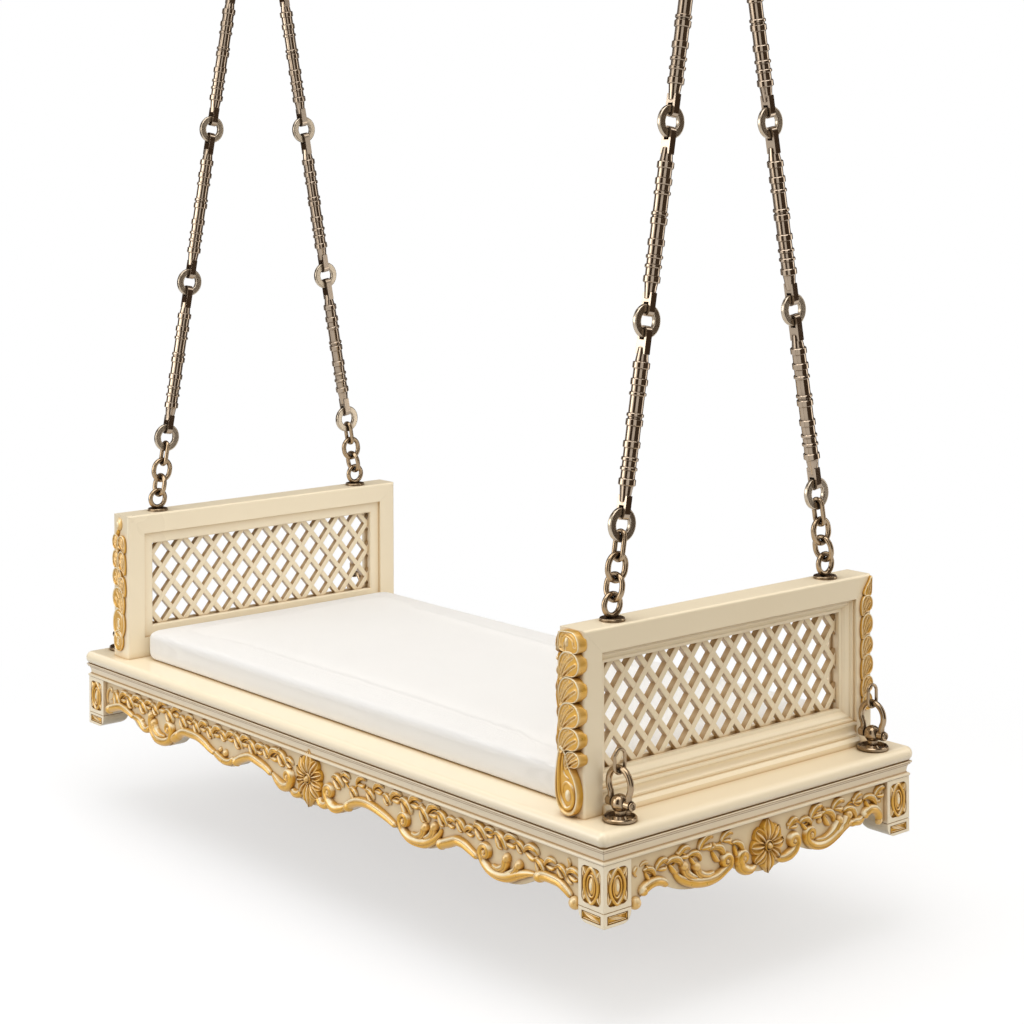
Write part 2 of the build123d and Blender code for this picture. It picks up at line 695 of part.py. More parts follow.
def corner_post():
    """The front right post: a block with recessed panels on a shaped foot."""
    middle = (HALF_LENGTH - POST_SIZE / 2, -HALF_DEPTH + POST_SIZE / 2)
    with BuildPart() as post:
        with BuildSketch(Plane.XY.offset(level(0))):
            with Locations(middle):
                Rectangle(POST_SIZE, POST_SIZE)
        extrude(amount=FOOT_HEIGHT)
        floor = post.edges().group_by(Axis.Z)[0]
        inner_end = floor.filter_by(Axis.Y).sort_by(Axis.X)[0]
        inner_side = floor.filter_by(Axis.X).sort_by(Axis.Y)[-1]
        fillet([inner_end, inner_side], FOOT_ROUND)
        with BuildSketch(Plane.XY.offset(level(FOOT_HEIGHT))):
            with Locations(middle):
                Rectangle(POST_SIZE - 2 * FOOT_GROOVE, POST_SIZE - 2 * FOOT_GROOVE)
        extrude(amount=FOOT_GROOVE)
        with BuildSketch(Plane.XY.offset(level(FOOT_HEIGHT + FOOT_GROOVE))):
            with Locations(middle):
                Rectangle(POST_SIZE, POST_SIZE)
        extrude(amount=POST_HEIGHT - FOOT_HEIGHT - FOOT_GROOVE)
        for plane in post_planes():
            with BuildSketch(plane):
                with Locations((0, PANEL_BOTTOM + PANEL_HEIGHT / 2)):
                    RectangleRounded(PANEL_WIDTH, PANEL_HEIGHT, PANEL_CORNER)
            extrude(amount=-PANEL_RECESS, mode=Mode.SUBTRACT)
            with BuildSketch(plane):
                with Locations((0, FOOT_HEIGHT / 2)):
                    Rectangle(PANEL_WIDTH, FOOT_PANEL_HEIGHT)
            extrude(amount=-FOOT_PANEL_RECESS, mode=Mode.SUBTRACT)
    return post.part


def medallions():
    """The two gilt pointed ovals of one post, each on its thin ground."""
    bend = (MEDALLION_LENGTH**2 / MEDALLION_WIDTH + MEDALLION_WIDTH) / 4
    with BuildPart() as pair:
        for plane in post_planes():
            ground = plane.offset(-PANEL_RECESS)
            middle = PANEL_BOTTOM + PANEL_HEIGHT / 2
            with BuildSketch(ground):
                with Locations((0, middle)):
                    RectangleRounded(
                        PANEL_WIDTH - 2 * JOINT_PLAY, PANEL_HEIGHT - 2 * JOINT_PLAY, PANEL_CORNER
                    )
            extrude(amount=MEDALLION_GROUND)
            with BuildSketch(ground.offset(MEDALLION_GROUND)):
                with Locations((MEDALLION_WIDTH / 2 - bend, middle)):
                    Circle(bend)
                with Locations((bend - MEDALLION_WIDTH / 2, middle)):
                    Circle(bend, mode=Mode.INTERSECT)
            extrude(amount=MEDALLION_RISE)
            with BuildSketch(ground.offset(MEDALLION_GROUND + MEDALLION_RISE)):
                with Locations((0, middle)):
                    Ellipse(MEDALLION_BOSS[0], MEDALLION_BOSS[1])
            extrude(amount=MEDALLION_BOSS[2])
    return pair.part


def four_corners(solids):
    """Pieces of the front right corner, repeated at all four by mirroring."""
    right = solids + [solid.mirror(Plane.XZ) for solid in solids]
    return right + other_end(right)


with BuildPart() as corner_posts:
    add(four_corners(corner_post().solids()))
save(corner_posts, "corner_posts")

with BuildPart() as corner_medallions:
    add(four_corners(medallions().solids()))
save(corner_medallions, "corner_medallions")

# ================================================================ platform: bearers and bolts


def bearer(x, width):
    """One cross bearer, notched at its ends under the cornice."""
    with BuildPart() as beam:
        with BuildSketch(Plane.XY.offset(level(BEARER_BOTTOM))):
            with Locations((x, 0)):
                Rectangle(width, 2 * APRON_BACK_Y)
        extrude(amount=BEARER_DROP)
        with BuildSketch(Plane.XY.offset(level(CORNICE_BOTTOM))):
            with Locations((x, 0)):
                Rectangle(width, 2 * APRON_RUN_Y)
        extrude(amount=CORNICE_HEIGHT)
    return beam.part


with BuildPart() as cross_bearers:
    for row in (-1, 0, 1):
        add(bearer(row * MIDDLE_BEARER_SPACING, MIDDLE_BEARER_WIDTH))
    for end in ENDS.values():
        add(bearer(end * FRAME_X, END_BEARER_WIDTH))
    with BuildSketch(Plane.XY.offset(level(BEARER_BOTTOM))):
        with Locations(*bolt_places()):
            Circle(BOLT_DIAMETER / 2 + JOINT_PLAY)
    extrude(amount=BEARER_DROP + CORNICE_HEIGHT, mode=Mode.SUBTRACT)
save(cross_bearers, "cross_bearers")

with BuildPart() as frame_bolts:
    with BuildSketch(Plane.XY.offset(level(BEARER_BOTTOM))):
        with Locations(*bolt_places()):
            RegularPolygon(BOLT_HEAD / 2, 6, major_radius=False)
    extrude(amount=-BOLT_HEAD_HEIGHT)
    with BuildSketch(Plane.XY.offset(level(BEARER_BOTTOM))):
        with Locations(*bolt_places()):
            Circle(BOLT_DIAMETER / 2)
    extrude(amount=DECK_TOP + BOLT_REACH - BEARER_BOTTOM)
save(frame_bolts, "frame_bolts")


# ================================================================ end frames (right end)
def upright_room(sign):
    """The room of one stile: it ends in a mitre at the top and stands square on the deck."""
    with BuildPart() as room:
        with BuildSketch(Plane.YZ.offset(FRAME_INNER_X - 1)):
            with BuildLine():
                Polyline(
                    (sign * FRAME_Y, level(DECK_TOP)),
                    (sign * FRAME_Y, level(RAIL_TOP)),
                    (sign * OPENING_Y, level(OPENING_TOP)),
                    (sign * OPENING_Y, level(DECK_TOP)),
                    close=True,
                )
            make_face()
        extrude(amount=FRAME_THICKNESS + 2)
    return room.part


def frame_arch():
    """Both stiles and the top rail in one, with the outer edges rounded."""
    with BuildPart() as arch:
        with BuildSketch(Plane.YZ.offset(FRAME_INNER_X)):
            with Locations((0, level(DECK_TOP + FRAME_HEIGHT / 2))):
                Rectangle(2 * FRAME_Y, FRAME_HEIGHT)
        extrude(amount=FRAME_THICKNESS)
        top = arch.faces().sort_by(Axis.Z)[-1].edges().filter_by(Axis.Y)
        front = arch.faces().sort_by(Axis.Y)[0].edges().filter_by(Axis.Z)
        back = arch.faces().sort_by(Axis.Y)[-1].edges().filter_by(Axis.Z)
        fillet(top + front + back, MEMBER_ROUND)
        with BuildSketch(Plane.YZ.offset(FRAME_INNER_X)):
            with Locations((0, level((DECK_TOP + OPENING_TOP) / 2))):
                Rectangle(2 * OPENING_Y, FRAME_HEIGHT - MEMBER_WIDTH)
        extrude(amount=FRAME_THICKNESS, mode=Mode.SUBTRACT)
        with BuildSketch(Plane.XY.offset(level(RAIL_TOP))):
            with Locations((FRAME_X, -EYE_Y), (FRAME_X, EYE_Y)):
                Circle(EYE_SHANK / 2 + JOINT_PLAY)
        extrude(amount=-EYE_SHANK_LENGTH - JOINT_PLAY, mode=Mode.SUBTRACT)
    return arch.part


def bottom_rail():
    """The bottom rail between the stiles, with a hollow along its outer face."""
    hollow = RAIL_COVE_RADIUS
    with BuildPart() as rail:
        with BuildSketch(Plane.XZ.offset(-OPENING_Y)):
            with BuildLine():
                Polyline(
                    (FRAME_INNER_X, level(DECK_TOP)),
                    (FRAME_OUTER_X, level(DECK_TOP)),
                    (FRAME_OUTER_X, level(OPENING_BOTTOM)),
                    (FRAME_INNER_X, level(OPENING_BOTTOM)),
                    close=True,
                )
            make_face()
            with Locations((FRAME_OUTER_X + hollow - RAIL_COVE, level(DECK_TOP + RAIL_COVE_HEIGHT))):
                Circle(hollow, mode=Mode.SUBTRACT)
        extrude(amount=2 * OPENING_Y)
        with BuildSketch(Plane.XY.offset(level(DECK_TOP))):
            with Locations(*bolt_places()):
                Circle(BOLT_DIAMETER / 2 + JOINT_PLAY)
        extrude(amount=BOLT_REACH + JOINT_PLAY, mode=Mode.SUBTRACT)
    return rail.part


def moulding_profile():
    """The inner moulding's section, as (distance in from the opening's edge, X)."""
    jali_out = FRAME_OUTER_X - JALI_OUTER_RECESS + JOINT_PLAY
    jali_in = FRAME_OUTER_X - JALI_OUTER_RECESS - JALI_THICKNESS - JOINT_PLAY
    outer = FRAME_OUTER_X - MOULDING_OUTER_RECESS
    inner = FRAME_INNER_X + MOULDING_INNER_RECESS
    wide = MOULDING_WIDTH
    groove = wide - JALI_TONGUE - JOINT_PLAY
    return (
        (0.0, inner),
        (wide - MOULDING_EDGE, inner),
        (wide, inner + MOULDING_EDGE),
        (wide, jali_in),
        (groove, jali_in),
        (groove, jali_out),
        (wide, jali_out),
        *((wide - inward, outer - below) for inward, below in MOULDING_HOLLOW),
        (2 * MOULDING_EDGE, outer),
        (0.0, outer),
    )


def inner_moulding():
    """A mitred ring of moulding inside the frame's opening, grooved for the lattice."""
    middle = level((OPENING_BOTTOM + OPENING_TOP) / 2)
    half_high = OPENING_HEIGHT / 2
    far = 2 * OPENING_Y
    with BuildPart() as ring:
        for turn, reach, run in (
            (0, half_high, OPENING_Y),
            (90, OPENING_Y, half_high),
            (180, half_high, OPENING_Y),
            (270, OPENING_Y, half_high),
        ):
            with BuildPart(mode=Mode.PRIVATE) as member:
                with BuildSketch(Plane.XZ.offset(-run)):
                    with BuildLine():
                        Polyline(*[(x, -reach + inward) for inward, x in moulding_profile()], close=True)
                    make_face()
                extrude(amount=2 * run)
                with BuildSketch(Plane.YZ.offset(FRAME_INNER_X)):
                    with BuildLine():
                        Polyline((-run, -reach), (run, -reach), (run - far, far - reach), close=True)
                    make_face()
                extrude(amount=FRAME_THICKNESS, mode=Mode.INTERSECT)
                with BuildSketch(Plane.YZ.offset(FRAME_INNER_X)):
                    with BuildLine():
                        Polyline((-run, -reach), (run, -reach), (far - run, far - reach), close=True)
                    make_face()
                extrude(amount=FRAME_THICKNESS, mode=Mode.INTERSECT)
            add(member.part.rotate(Axis.X, turn).translate((0, 0, middle)))
    return ring.part


def jali():
    """The lattice panel: diamonds cut through a board whose rim sits in the moulding's groove."""
    seen_y = OPENING_Y - MOULDING_WIDTH
    seen_z = OPENING_HEIGHT / 2 - MOULDING_WIDTH
    columns = int(seen_y / JALI_PITCH_Y) + 1
    rows = int(seen_z / JALI_PITCH_Z) + 1
    hole_y = JALI_PITCH_Y * JALI_HOLE_SHARE / 2
    hole_z = JALI_PITCH_Z * JALI_HOLE_SHARE / 2
    places = []
    for column in range(-columns, columns + 1):
        for row in range(-rows, rows + 1):
            places.append((column * JALI_PITCH_Y, row * JALI_PITCH_Z))
            places.append(((column + 0.5) * JALI_PITCH_Y, (row + 0.5) * JALI_PITCH_Z))
    middle = level((OPENING_BOTTOM + OPENING_TOP) / 2)
    plane = Plane(
        origin=(FRAME_OUTER_X - JALI_OUTER_RECESS, 0, middle), x_dir=(0, 1, 0), z_dir=(1, 0, 0)
    )
    with BuildPart() as panel:
        with BuildSketch(plane):
            Rectangle(2 * (seen_y + JALI_TONGUE), 2 * (seen_z + JALI_TONGUE))
        extrude(amount=-JALI_THICKNESS)
        with BuildSketch(plane):
            with Locations(*places):
                Polygon((hole_y, 0), (0, hole_z), (-hole_y, 0), (0, -hole_z))
            Rectangle(2 * seen_y, 2 * seen_z, mode=Mode.INTERSECT)
        extrude(amount=-JALI_THICKNESS, mode=Mode.SUBTRACT)
    return panel.part


def shoe_moulding():
    """The strip along the foot of the bottom rail's outer face."""
    high = SHOE_HEIGHT
    out = SHOE_PROJECTION
    with BuildPart() as shoe:
        with BuildSketch(Plane.XZ.offset(-OPENING_Y)):
            with BuildLine():
                Polyline(
                    (FRAME_OUTER_X, level(DECK_TOP)),
                    (FRAME_OUTER_X + out, level(DECK_TOP)),
                    (FRAME_OUTER_X + out, level(DECK_TOP + high * 0.6)),
                    (FRAME_OUTER_X + out * 0.5, level(DECK_TOP + high)),
                    (FRAME_OUTER_X, level(DECK_TOP + high)),
                    close=True,
                )
            make_face()
        extrude(amount=2 * OPENING_Y)
    return shoe.part


def frame_piece(kind):
    """One member of the right end's frame by name."""
    with BuildPart() as member:
        add(frame_arch())
        if kind == "top_rail":
            add(upright_room(-1), mode=Mode.SUBTRACT)
            add(upright_room(1), mode=Mode.SUBTRACT)
        else:
            add(upright_room(SIDES[kind.split("_")[0]]), mode=Mode.INTERSECT)
    return member.part


FRAME_PIECES = {
    "front_stile": frame_piece("front_stile"),
    "back_stile": frame_piece("back_stile"),
    "top_rail": frame_piece("top_rail"),
    "bottom_rail": bottom_rail(),
    "inner_moulding": inner_moulding(),
    "jali": jali(),
}
for piece_name, piece in FRAME_PIECES.items():
    with BuildPart() as right_piece:
        add(piece.solids())
    save(right_piece, f"right_{piece_name}")
    with BuildPart() as left_piece:
        add(other_end(piece.solids()))
    save(left_piece, f"left_{piece_name}")

with BuildPart() as shoe_mouldings:
    add(shoe_moulding())
    add(other_end(shoe_moulding().solids()))
save(shoe_mouldings, "shoe_mouldings")


# ================================================================ carved strips
def front_carving(lobes, depth, wrap):
    """A carved strip on the right end frame's front edge: a run of lobes."""
    front = Plane(origin=(0, -FRAME_Y + wrap, 0), x_dir=(1, 0, 0), z_dir=(0, -1, 0))
    with BuildPart() as strip:
        with BuildSketch(front):
            for inward, height, half_width, half_height in lobes:
                with Locations((FRAME_OUTER_X - inward, level(DECK_TOP + height))):
                    Ellipse(half_width, half_height + CARVING_LAP)
        extrude(amount=wrap + depth)
        add(frame_room(), mode=Mode.SUBTRACT)
    return strip.part


def carved_stem():
    """The low stem beside the lobes of the right front strip."""
    inward, height, half_width, half_height = STEM
    front = Plane(origin=(0, -FRAME_Y, 0), x_dir=(1, 0, 0), z_dir=(0, -1, 0))
    with BuildPart() as stem:
        with BuildSketch(front):
            with Locations((FRAME_OUTER_X - inward, level(DECK_TOP + height))):
                Ellipse(half_width, half_height)
        extrude(amount=STEM_DEPTH)
    return stem.part


def frame_room():
    """The room of the end frame and of the deck below it."""
    with BuildPart() as room:
        with BuildSketch(Plane.XY.offset(level(DECK_TOP))):
            Rectangle(2 * FRAME_OUTER_X, 2 * FRAME_Y)
        extrude(amount=FRAME_HEIGHT)
        with BuildSketch(Plane.XY.offset(level(DECK_TOP))):
            Rectangle(2 * DECK_X, 2 * DECK_Y)
        extrude(amount=-DECK_THICKNESS)
    return room.part


def back_carving():
    """The carved strip on the outer face of the right end frame's back edge."""
    with BuildPart() as strip:
        with BuildSketch(Plane(origin=(FRAME_OUTER_X, 0, 0), x_dir=(0, 1, 0), z_dir=(1, 0, 0))):
            for inward, height, half_width, half_height in BACK_LOBES:
                with Locations((FRAME_Y - inward, level(DECK_TOP + height))):
                    Ellipse(half_width, half_height + CARVING_LAP)
        extrude(amount=BACK_CARVING_DEPTH)
    return strip.part


with BuildPart() as right_front_carving:
    add(front_carving(RIGHT_LOBES, RIGHT_CARVING_DEPTH, RIGHT_CARVING_WRAP))
    add(carved_stem())
save(right_front_carving, "right_front_carving")

with BuildPart() as left_front_carving:
    add(other_end(front_carving(LEFT_LOBES, LEFT_CARVING_DEPTH, 0.0).solids()))
save(left_front_carving, "left_front_carving")

with BuildPart() as right_back_carving:
    add(back_carving())
save(right_back_carving, "right_back_carving")

with BuildPart() as left_back_carving:
    add(other_end(back_carving().solids()))
save(left_back_carving, "left_back_carving")

# ================================================================ mattress
with BuildPart() as mattress:
    with BuildSketch(Plane.XY.offset(level(DECK_TOP + SOFT_GAP))):
        RectangleRounded(2 * MATTRESS_X, 2 * MATTRESS_Y, MATTRESS_CORNER)
    extrude(amount=MATTRESS_THICKNESS)
    fillet(mattress.edges().group_by(Axis.Z)[0] + mattress.edges().group_by(Axis.Z)[-1], MATTRESS_ROUND)
save(mattress, "mattress")


# ================================================================ eye plates and chains
def eye_plate():
    """The front right eye plate: plate, upright ring and shank in one forging."""
    with BuildPart() as eye:
        with BuildSketch(Plane.XY.offset(level(RAIL_TOP))):
            with Locations((FRAME_X, -EYE_Y)):
                Circle(EYE_PLATE_DIAMETER / 2)
        extrude(amount=EYE_PLATE_THICKNESS)
        fillet(eye.edges().group_by(Axis.Z)[-1], EYE_PLATE_ROUND)
        with BuildSketch(Plane.XY.offset(level(RAIL_TOP))):
            with Locations((FRAME_X, -EYE_Y)):
                Circle(EYE_SHANK / 2)
        extrude(amount=-EYE_SHANK_LENGTH)
        with Locations(Location((FRAME_X, -EYE_Y, level(EYE_HEIGHT)), (0, 90, 0))):
            Torus(EYE_RADIUS, EYE_WIRE / 2)
    return eye.part


with BuildPart() as eye_plates:
    add(four_corners(eye_plate().solids()))
save(eye_plates, "eye_plates")


def chain_location(side):
    """The right end's chain frame: its origin in the eye and its z up along the chain."""
    return Plane(
        origin=(FRAME_X, side * EYE_Y, level(EYE_HEIGHT)),
        x_dir=(1, 0, 0),
        z_dir=(0, -side * sin(LEAN), cos(LEAN)),
    ).location


def on_chains(solids):
    """Pieces along one chain, placed on both chains of the right end."""
    return [solid.moved(chain_location(side)) for side in SIDES.values() for solid in solids]


def flat_ring(station):
    """A flat ring in the plane of the two chains, its rim softly edged."""
    with BuildPart() as ring:
        with BuildSketch(Plane.YZ.offset(-RING_THICKNESS / 2)):
            with Locations((0, station)):
                Circle(RING_DIAMETER / 2)
                Circle(RING_HOLE / 2, mode=Mode.SUBTRACT)
        extrude(amount=RING_THICKNESS)
        fillet(ring.edges().filter_by(GeomType.CIRCLE), RING_EDGE)
    return ring.part


def strap(crown, root, up):
    """A rod's end strap in the XZ plane, from its crown's inside to its root on the rod."""
    inner = STRAP_INNER_RADIUS
    outer = STRAP_INNER_RADIUS + STRAP_THICKNESS
    bend = crown - up * inner
    slot_end = crown - up * STRAP_SLOT
    with BuildPart() as loop:
        with BuildSketch(Plane.XZ.offset(-STRAP_WIDTH / 2)):
            with Locations((0, bend)):
                Circle(outer)
            with Locations((0, (bend + root) / 2)):
                Rectangle(2 * outer, abs(root - bend))
            with Locations((0, bend)):
                Circle(inner, mode=Mode.SUBTRACT)
            with Locations((0, (bend + slot_end) / 2)):
                Rectangle(2 * inner, abs(slot_end - bend), mode=Mode.SUBTRACT)
        extrude(amount=STRAP_WIDTH)
    return loop.part


def turned_rod():
    """One turned rod, standing on its lower ring's centre at zero."""
    neck_low = ROD_STRAP_LENGTH_LOW
    neck_high = RING_PITCH - ROD_STRAP_LENGTH_HIGH
    body_low = neck_low + ROD_CONE_LOW
    body_high = neck_high - ROD_CONE_HIGH
    rim = ROD_COLLAR_DIAMETER / 2
    with BuildPart() as rod:
        with BuildSketch(Plane.XZ):
            with BuildLine():
                Polyline(
                    (0, neck_low),
                    (ROD_NECK_DIAMETER / 2, neck_low),
                    (ROD_SHOULDER_DIAMETER / 2, body_low),
                    (ROD_DIAMETER / 2, body_low),
                    (ROD_DIAMETER / 2, body_high),
                    (ROD_SHOULDER_DIAMETER / 2, body_high),
                    (ROD_NECK_DIAMETER / 2, neck_high),
                    (0, neck_high),
                    close=True,
                )
            make_face()
            for height, width in ROD_COLLARS:
                with BuildLine():
                    Polyline(
                        (0, height - width / 2),
                        (rim - ROD_COLLAR_BEVEL, height - width / 2),
                        (rim, height - width / 2 + ROD_COLLAR_BEVEL),
                        (rim, height + width / 2 - ROD_COLLAR_BEVEL),
                        (rim - ROD_COLLAR_BEVEL, height + width / 2),
                        (0, height + width / 2),
                        close=True,
                    )
                make_face()
        revolve(axis=Axis.Z)
        add(strap(STRAP_CROWN, neck_low + STRAP_ROOT, -1))
        add(strap(RING_PITCH - STRAP_CROWN, neck_high - STRAP_ROOT, 1))
    return rod.part


with BuildPart() as right_chain_links:
    add(on_chains(oval_link(LINK_B, B_LOW, Plane.XZ).solids()))
    add(on_chains(oval_link(LINK_C, C_LOW, Plane.YZ).solids()))
    add(on_chains(oval_link(LINK_D, D_LOW, Plane.XZ).solids()))
save(right_chain_links, "right_chain_links")

with BuildPart() as right_chain_rings:
    for number in range(RODS_PER_CHAIN):
        add(on_chains(flat_ring(FIRST_RING + number * RING_PITCH).solids()))
save(right_chain_rings, "right_chain_rings")

with BuildPart() as right_chain_rods:
    for number in range(RODS_PER_CHAIN):
        lifted = turned_rod().translate((0, 0, FIRST_RING + number * RING_PITCH))
        add(on_chains(lifted.solids()))
save(right_chain_rods, "right_chain_rods")

with BuildPart() as right_top_ring:
    with Locations(Location((FRAME_X, 0, level(TOP_RING_HEIGHT)), (0, 90, 0))):
        Torus(TOP_RING_RADIUS, TOP_RING_WIRE / 2)
save(right_top_ring, "right_top_ring")


# ================================================================ hook, hinge and bracket
def swing_hook():
    """The right hook: an eye on the hinge pin, an offset shank and a round saddle."""
    bend = HOOK_INNER_RADIUS + HOOK_WIRE / 2
    saddle = level(SADDLE_HEIGHT) + bend
    hinge = level(HINGE_HEIGHT)
    inside, below, above = HOOK_SHANK
    with BuildPart() as hook:
        with BuildSketch(Plane.YZ.offset(FRAME_X - HOOK_EYE_WIDTH / 2)):
            with Locations((0, hinge)):
                Circle(HOOK_EYE_DIAMETER / 2)
        extrude(amount=HOOK_EYE_WIDTH)
        fillet(hook.edges().filter_by(GeomType.CIRCLE), HOOK_EYE_EDGE)
        with BuildLine(Plane.XZ) as path:
            FilletPolyline(
                (FRAME_X, hinge - HOOK_EYE_DIAMETER / 2 + inside),
                (FRAME_X, hinge - HOOK_EYE_DIAMETER / 2 - below),
                (FRAME_X - bend, saddle + above),
                (FRAME_X - bend, saddle),
                radius=HOOK_BEND,
            )
            ThreePointArc(
                (FRAME_X - bend, saddle), (FRAME_X, saddle - bend), (FRAME_X + bend, saddle)
            )
            Line((FRAME_X + bend, saddle), (FRAME_X + bend, saddle + HOOK_TIP_RISE))
        with BuildSketch(Plane(origin=path.line @ 0, z_dir=path.line % 0)):
            Circle(HOOK_WIRE / 2)
        sweep(path=path.line)
        with Locations((FRAME_X + bend, 0, saddle + HOOK_TIP_RISE)):
            Sphere(HOOK_TIP_DIAMETER / 2)
        with BuildSketch(Plane.YZ.offset(FRAME_X - HOOK_EYE_WIDTH)):
            with Locations((0, hinge)):
                Circle(PIN_DIAMETER / 2 + PIN_PLAY)
        extrude(amount=2 * HOOK_EYE_WIDTH, mode=Mode.SUBTRACT)
    return hook.part


with BuildPart() as right_hook:
    add(swing_hook())
save(right_hook, "right_hook")


def ceiling_bracket():
    """The right bracket: a round plate with four holes and two ears for the pin."""
    ear_x = HOOK_EYE_WIDTH / 2 + EAR_GAP
    hinge = level(HINGE_HEIGHT)
    with BuildPart() as bracket:
        with BuildSketch(Plane.XY):
            with Locations((FRAME_X, 0)):
                Circle(BRACKET_DIAMETER / 2)
            with Locations((FRAME_X, 0)):
                with PolarLocations(BRACKET_PCD / 2, 4, start_angle=45):
                    Circle(BRACKET_HOLE / 2, mode=Mode.SUBTRACT)
        extrude(amount=-BRACKET_THICKNESS)
        for sign in (-1, 1):
            near = FRAME_X + sign * ear_x
            with BuildSketch(Plane.YZ.offset(near)):
                with Locations((0, hinge)):
                    Circle(EAR_WIDTH / 2)
                with Locations((0, (hinge - BRACKET_THICKNESS) / 2)):
                    Rectangle(EAR_WIDTH, -hinge - BRACKET_THICKNESS)
                with Locations((0, hinge)):
                    Circle(PIN_DIAMETER / 2 + JOINT_PLAY, mode=Mode.SUBTRACT)
            extrude(amount=sign * EAR_THICKNESS)
    return bracket.part


with BuildPart() as ceiling_brackets:
    add(ceiling_bracket())
    add(other_end(ceiling_bracket().solids()))
save(ceiling_brackets, "ceiling_brackets")


def hinge_pin():
    """The right hinge pin, headed at its inner end."""
    with BuildPart() as pin:
        with BuildSketch(Plane.YZ.offset(FRAME_X - EAR_OUTER)):
            with Locations((0, level(HINGE_HEIGHT))):
                Circle(PIN_DIAMETER / 2)
        extrude(amount=2 * EAR_OUTER + NUT_THICKNESS + PIN_END)
        with BuildSketch(Plane.YZ.offset(FRAME_X - EAR_OUTER)):
            with Locations((0, level(HINGE_HEIGHT))):
                Circle(PIN_HEAD_DIAMETER / 2)
        extrude(amount=-PIN_HEAD_THICKNESS)
    return pin.part


def pin_nut():
    """The nut on the right hinge pin's outer end."""
    with BuildPart() as nut:
        with BuildSketch(Plane.YZ.offset(FRAME_X + EAR_OUTER)):
            with Locations((0, level(HINGE_HEIGHT))):
                RegularPolygon(NUT_SIZE / 2, 6, major_radius=False)
                Circle(PIN_DIAMETER / 2 + JOINT_PLAY, mode=Mode.SUBTRACT)
        extrude(amount=NUT_THICKNESS)
    return nut.part


with BuildPart() as hinge_pins:
    add(hinge_pin())
    add(other_end(hinge_pin().solids()))
save(hinge_pins, "hinge_pins")

with BuildPart() as pin_nuts:
    add(pin_nut())
    add(other_end(pin_nut().solids()))
save(pin_nuts, "pin_nuts")

for gear_name, gear in {
    "chain_links": right_chain_links,
    "chain_rings": right_chain_rings,
    "chain_rods": right_chain_rods,
    "top_ring": right_top_ring,
    "hook": right_hook,
}.items():
    with BuildPart() as left_gear:
        add(other_end(gear.solids()))
    save(left_gear, f"left_{gear_name}")


# ================================================================ deck anchors
def anchor_stud():
    """The front right stud: a dished flange, a short neck and a ball bored for the pin."""
    half = FLANGE_DIAMETER / 2
    deck = level(DECK_TOP)
    middle = level(PIN_HEIGHT)
    dish = half - FLANGE_RIM - DISH_SLOPE
    rim_top = deck + FLANGE_HEIGHT
    dish_floor = rim_top - FLANGE_DISH
    neck = NECK_DIAMETER / 2
    with BuildPart() as stud:
        with BuildSketch(Plane.XZ):
            with BuildLine():
                Polyline(
                    (0, deck),
                    (half - FLANGE_BEVEL, deck),
                    (half, deck + FLANGE_BEVEL),
                    (half, rim_top - FLANGE_BEVEL),
                    (half - FLANGE_BEVEL, rim_top),
                    (half - FLANGE_RIM, rim_top),
                    (dish, dish_floor),
                    (neck + NECK_FLARE, dish_floor),
                    (neck, rim_top),
                    (neck, middle),
                    (0, middle),
                    close=True,
                )
            make_face()
        revolve(axis=Axis.Z)
        with Locations((0, 0, middle)):
            Sphere(BALL_DIAMETER / 2)
        with BuildSketch(Plane.XY.offset(deck)):
            Circle(STUD_SHANK / 2)
        extrude(amount=-STUD_SHANK_LENGTH)
        with BuildSketch(Plane.YZ.offset(-BALL_DIAMETER)):
            with Locations((0, middle)):
                Circle(SHACKLE_PIN / 2 + JOINT_PLAY)
        extrude(amount=2 * BALL_DIAMETER, mode=Mode.SUBTRACT)
    return stud.part.translate((ANCHOR_X, -ANCHOR_Y, 0))


def anchor_pin():
    """The front right shackle pin: a round head at its inner end, a ring at its outer end."""
    middle = level(PIN_HEIGHT)
    reach = SHACKLE_LEG_X + SHACKLE_EYE_WIDTH / 2 + SHACKLE_SIDE_GAP
    with BuildPart() as pin:
        with BuildSketch(Plane.YZ.offset(-reach)):
            with Locations((0, middle)):
                Circle(SHACKLE_PIN / 2)
        extrude(amount=2 * reach)
        with BuildSketch(Plane.YZ.offset(-reach)):
            with Locations((0, middle)):
                Circle(SHACKLE_PIN / 2 + PIN_LIP)
        extrude(amount=-PIN_LIP_THICKNESS)
        with Locations(Location((reach + PIN_RING_WIRE / 2, 0, middle), (0, 90, 0))):
            Torus((PIN_RING_DIAMETER - PIN_RING_WIRE) / 2, PIN_RING_WIRE / 2)
        with BuildSketch(Plane.YZ.offset(reach)):
            with Locations((0, middle)):
                Circle((PIN_RING_DIAMETER - PIN_RING_WIRE) / 2)
        extrude(amount=PIN_RING_WIRE / 2)
    return pin.part.translate((ANCHOR_X, -ANCHOR_Y, 0))


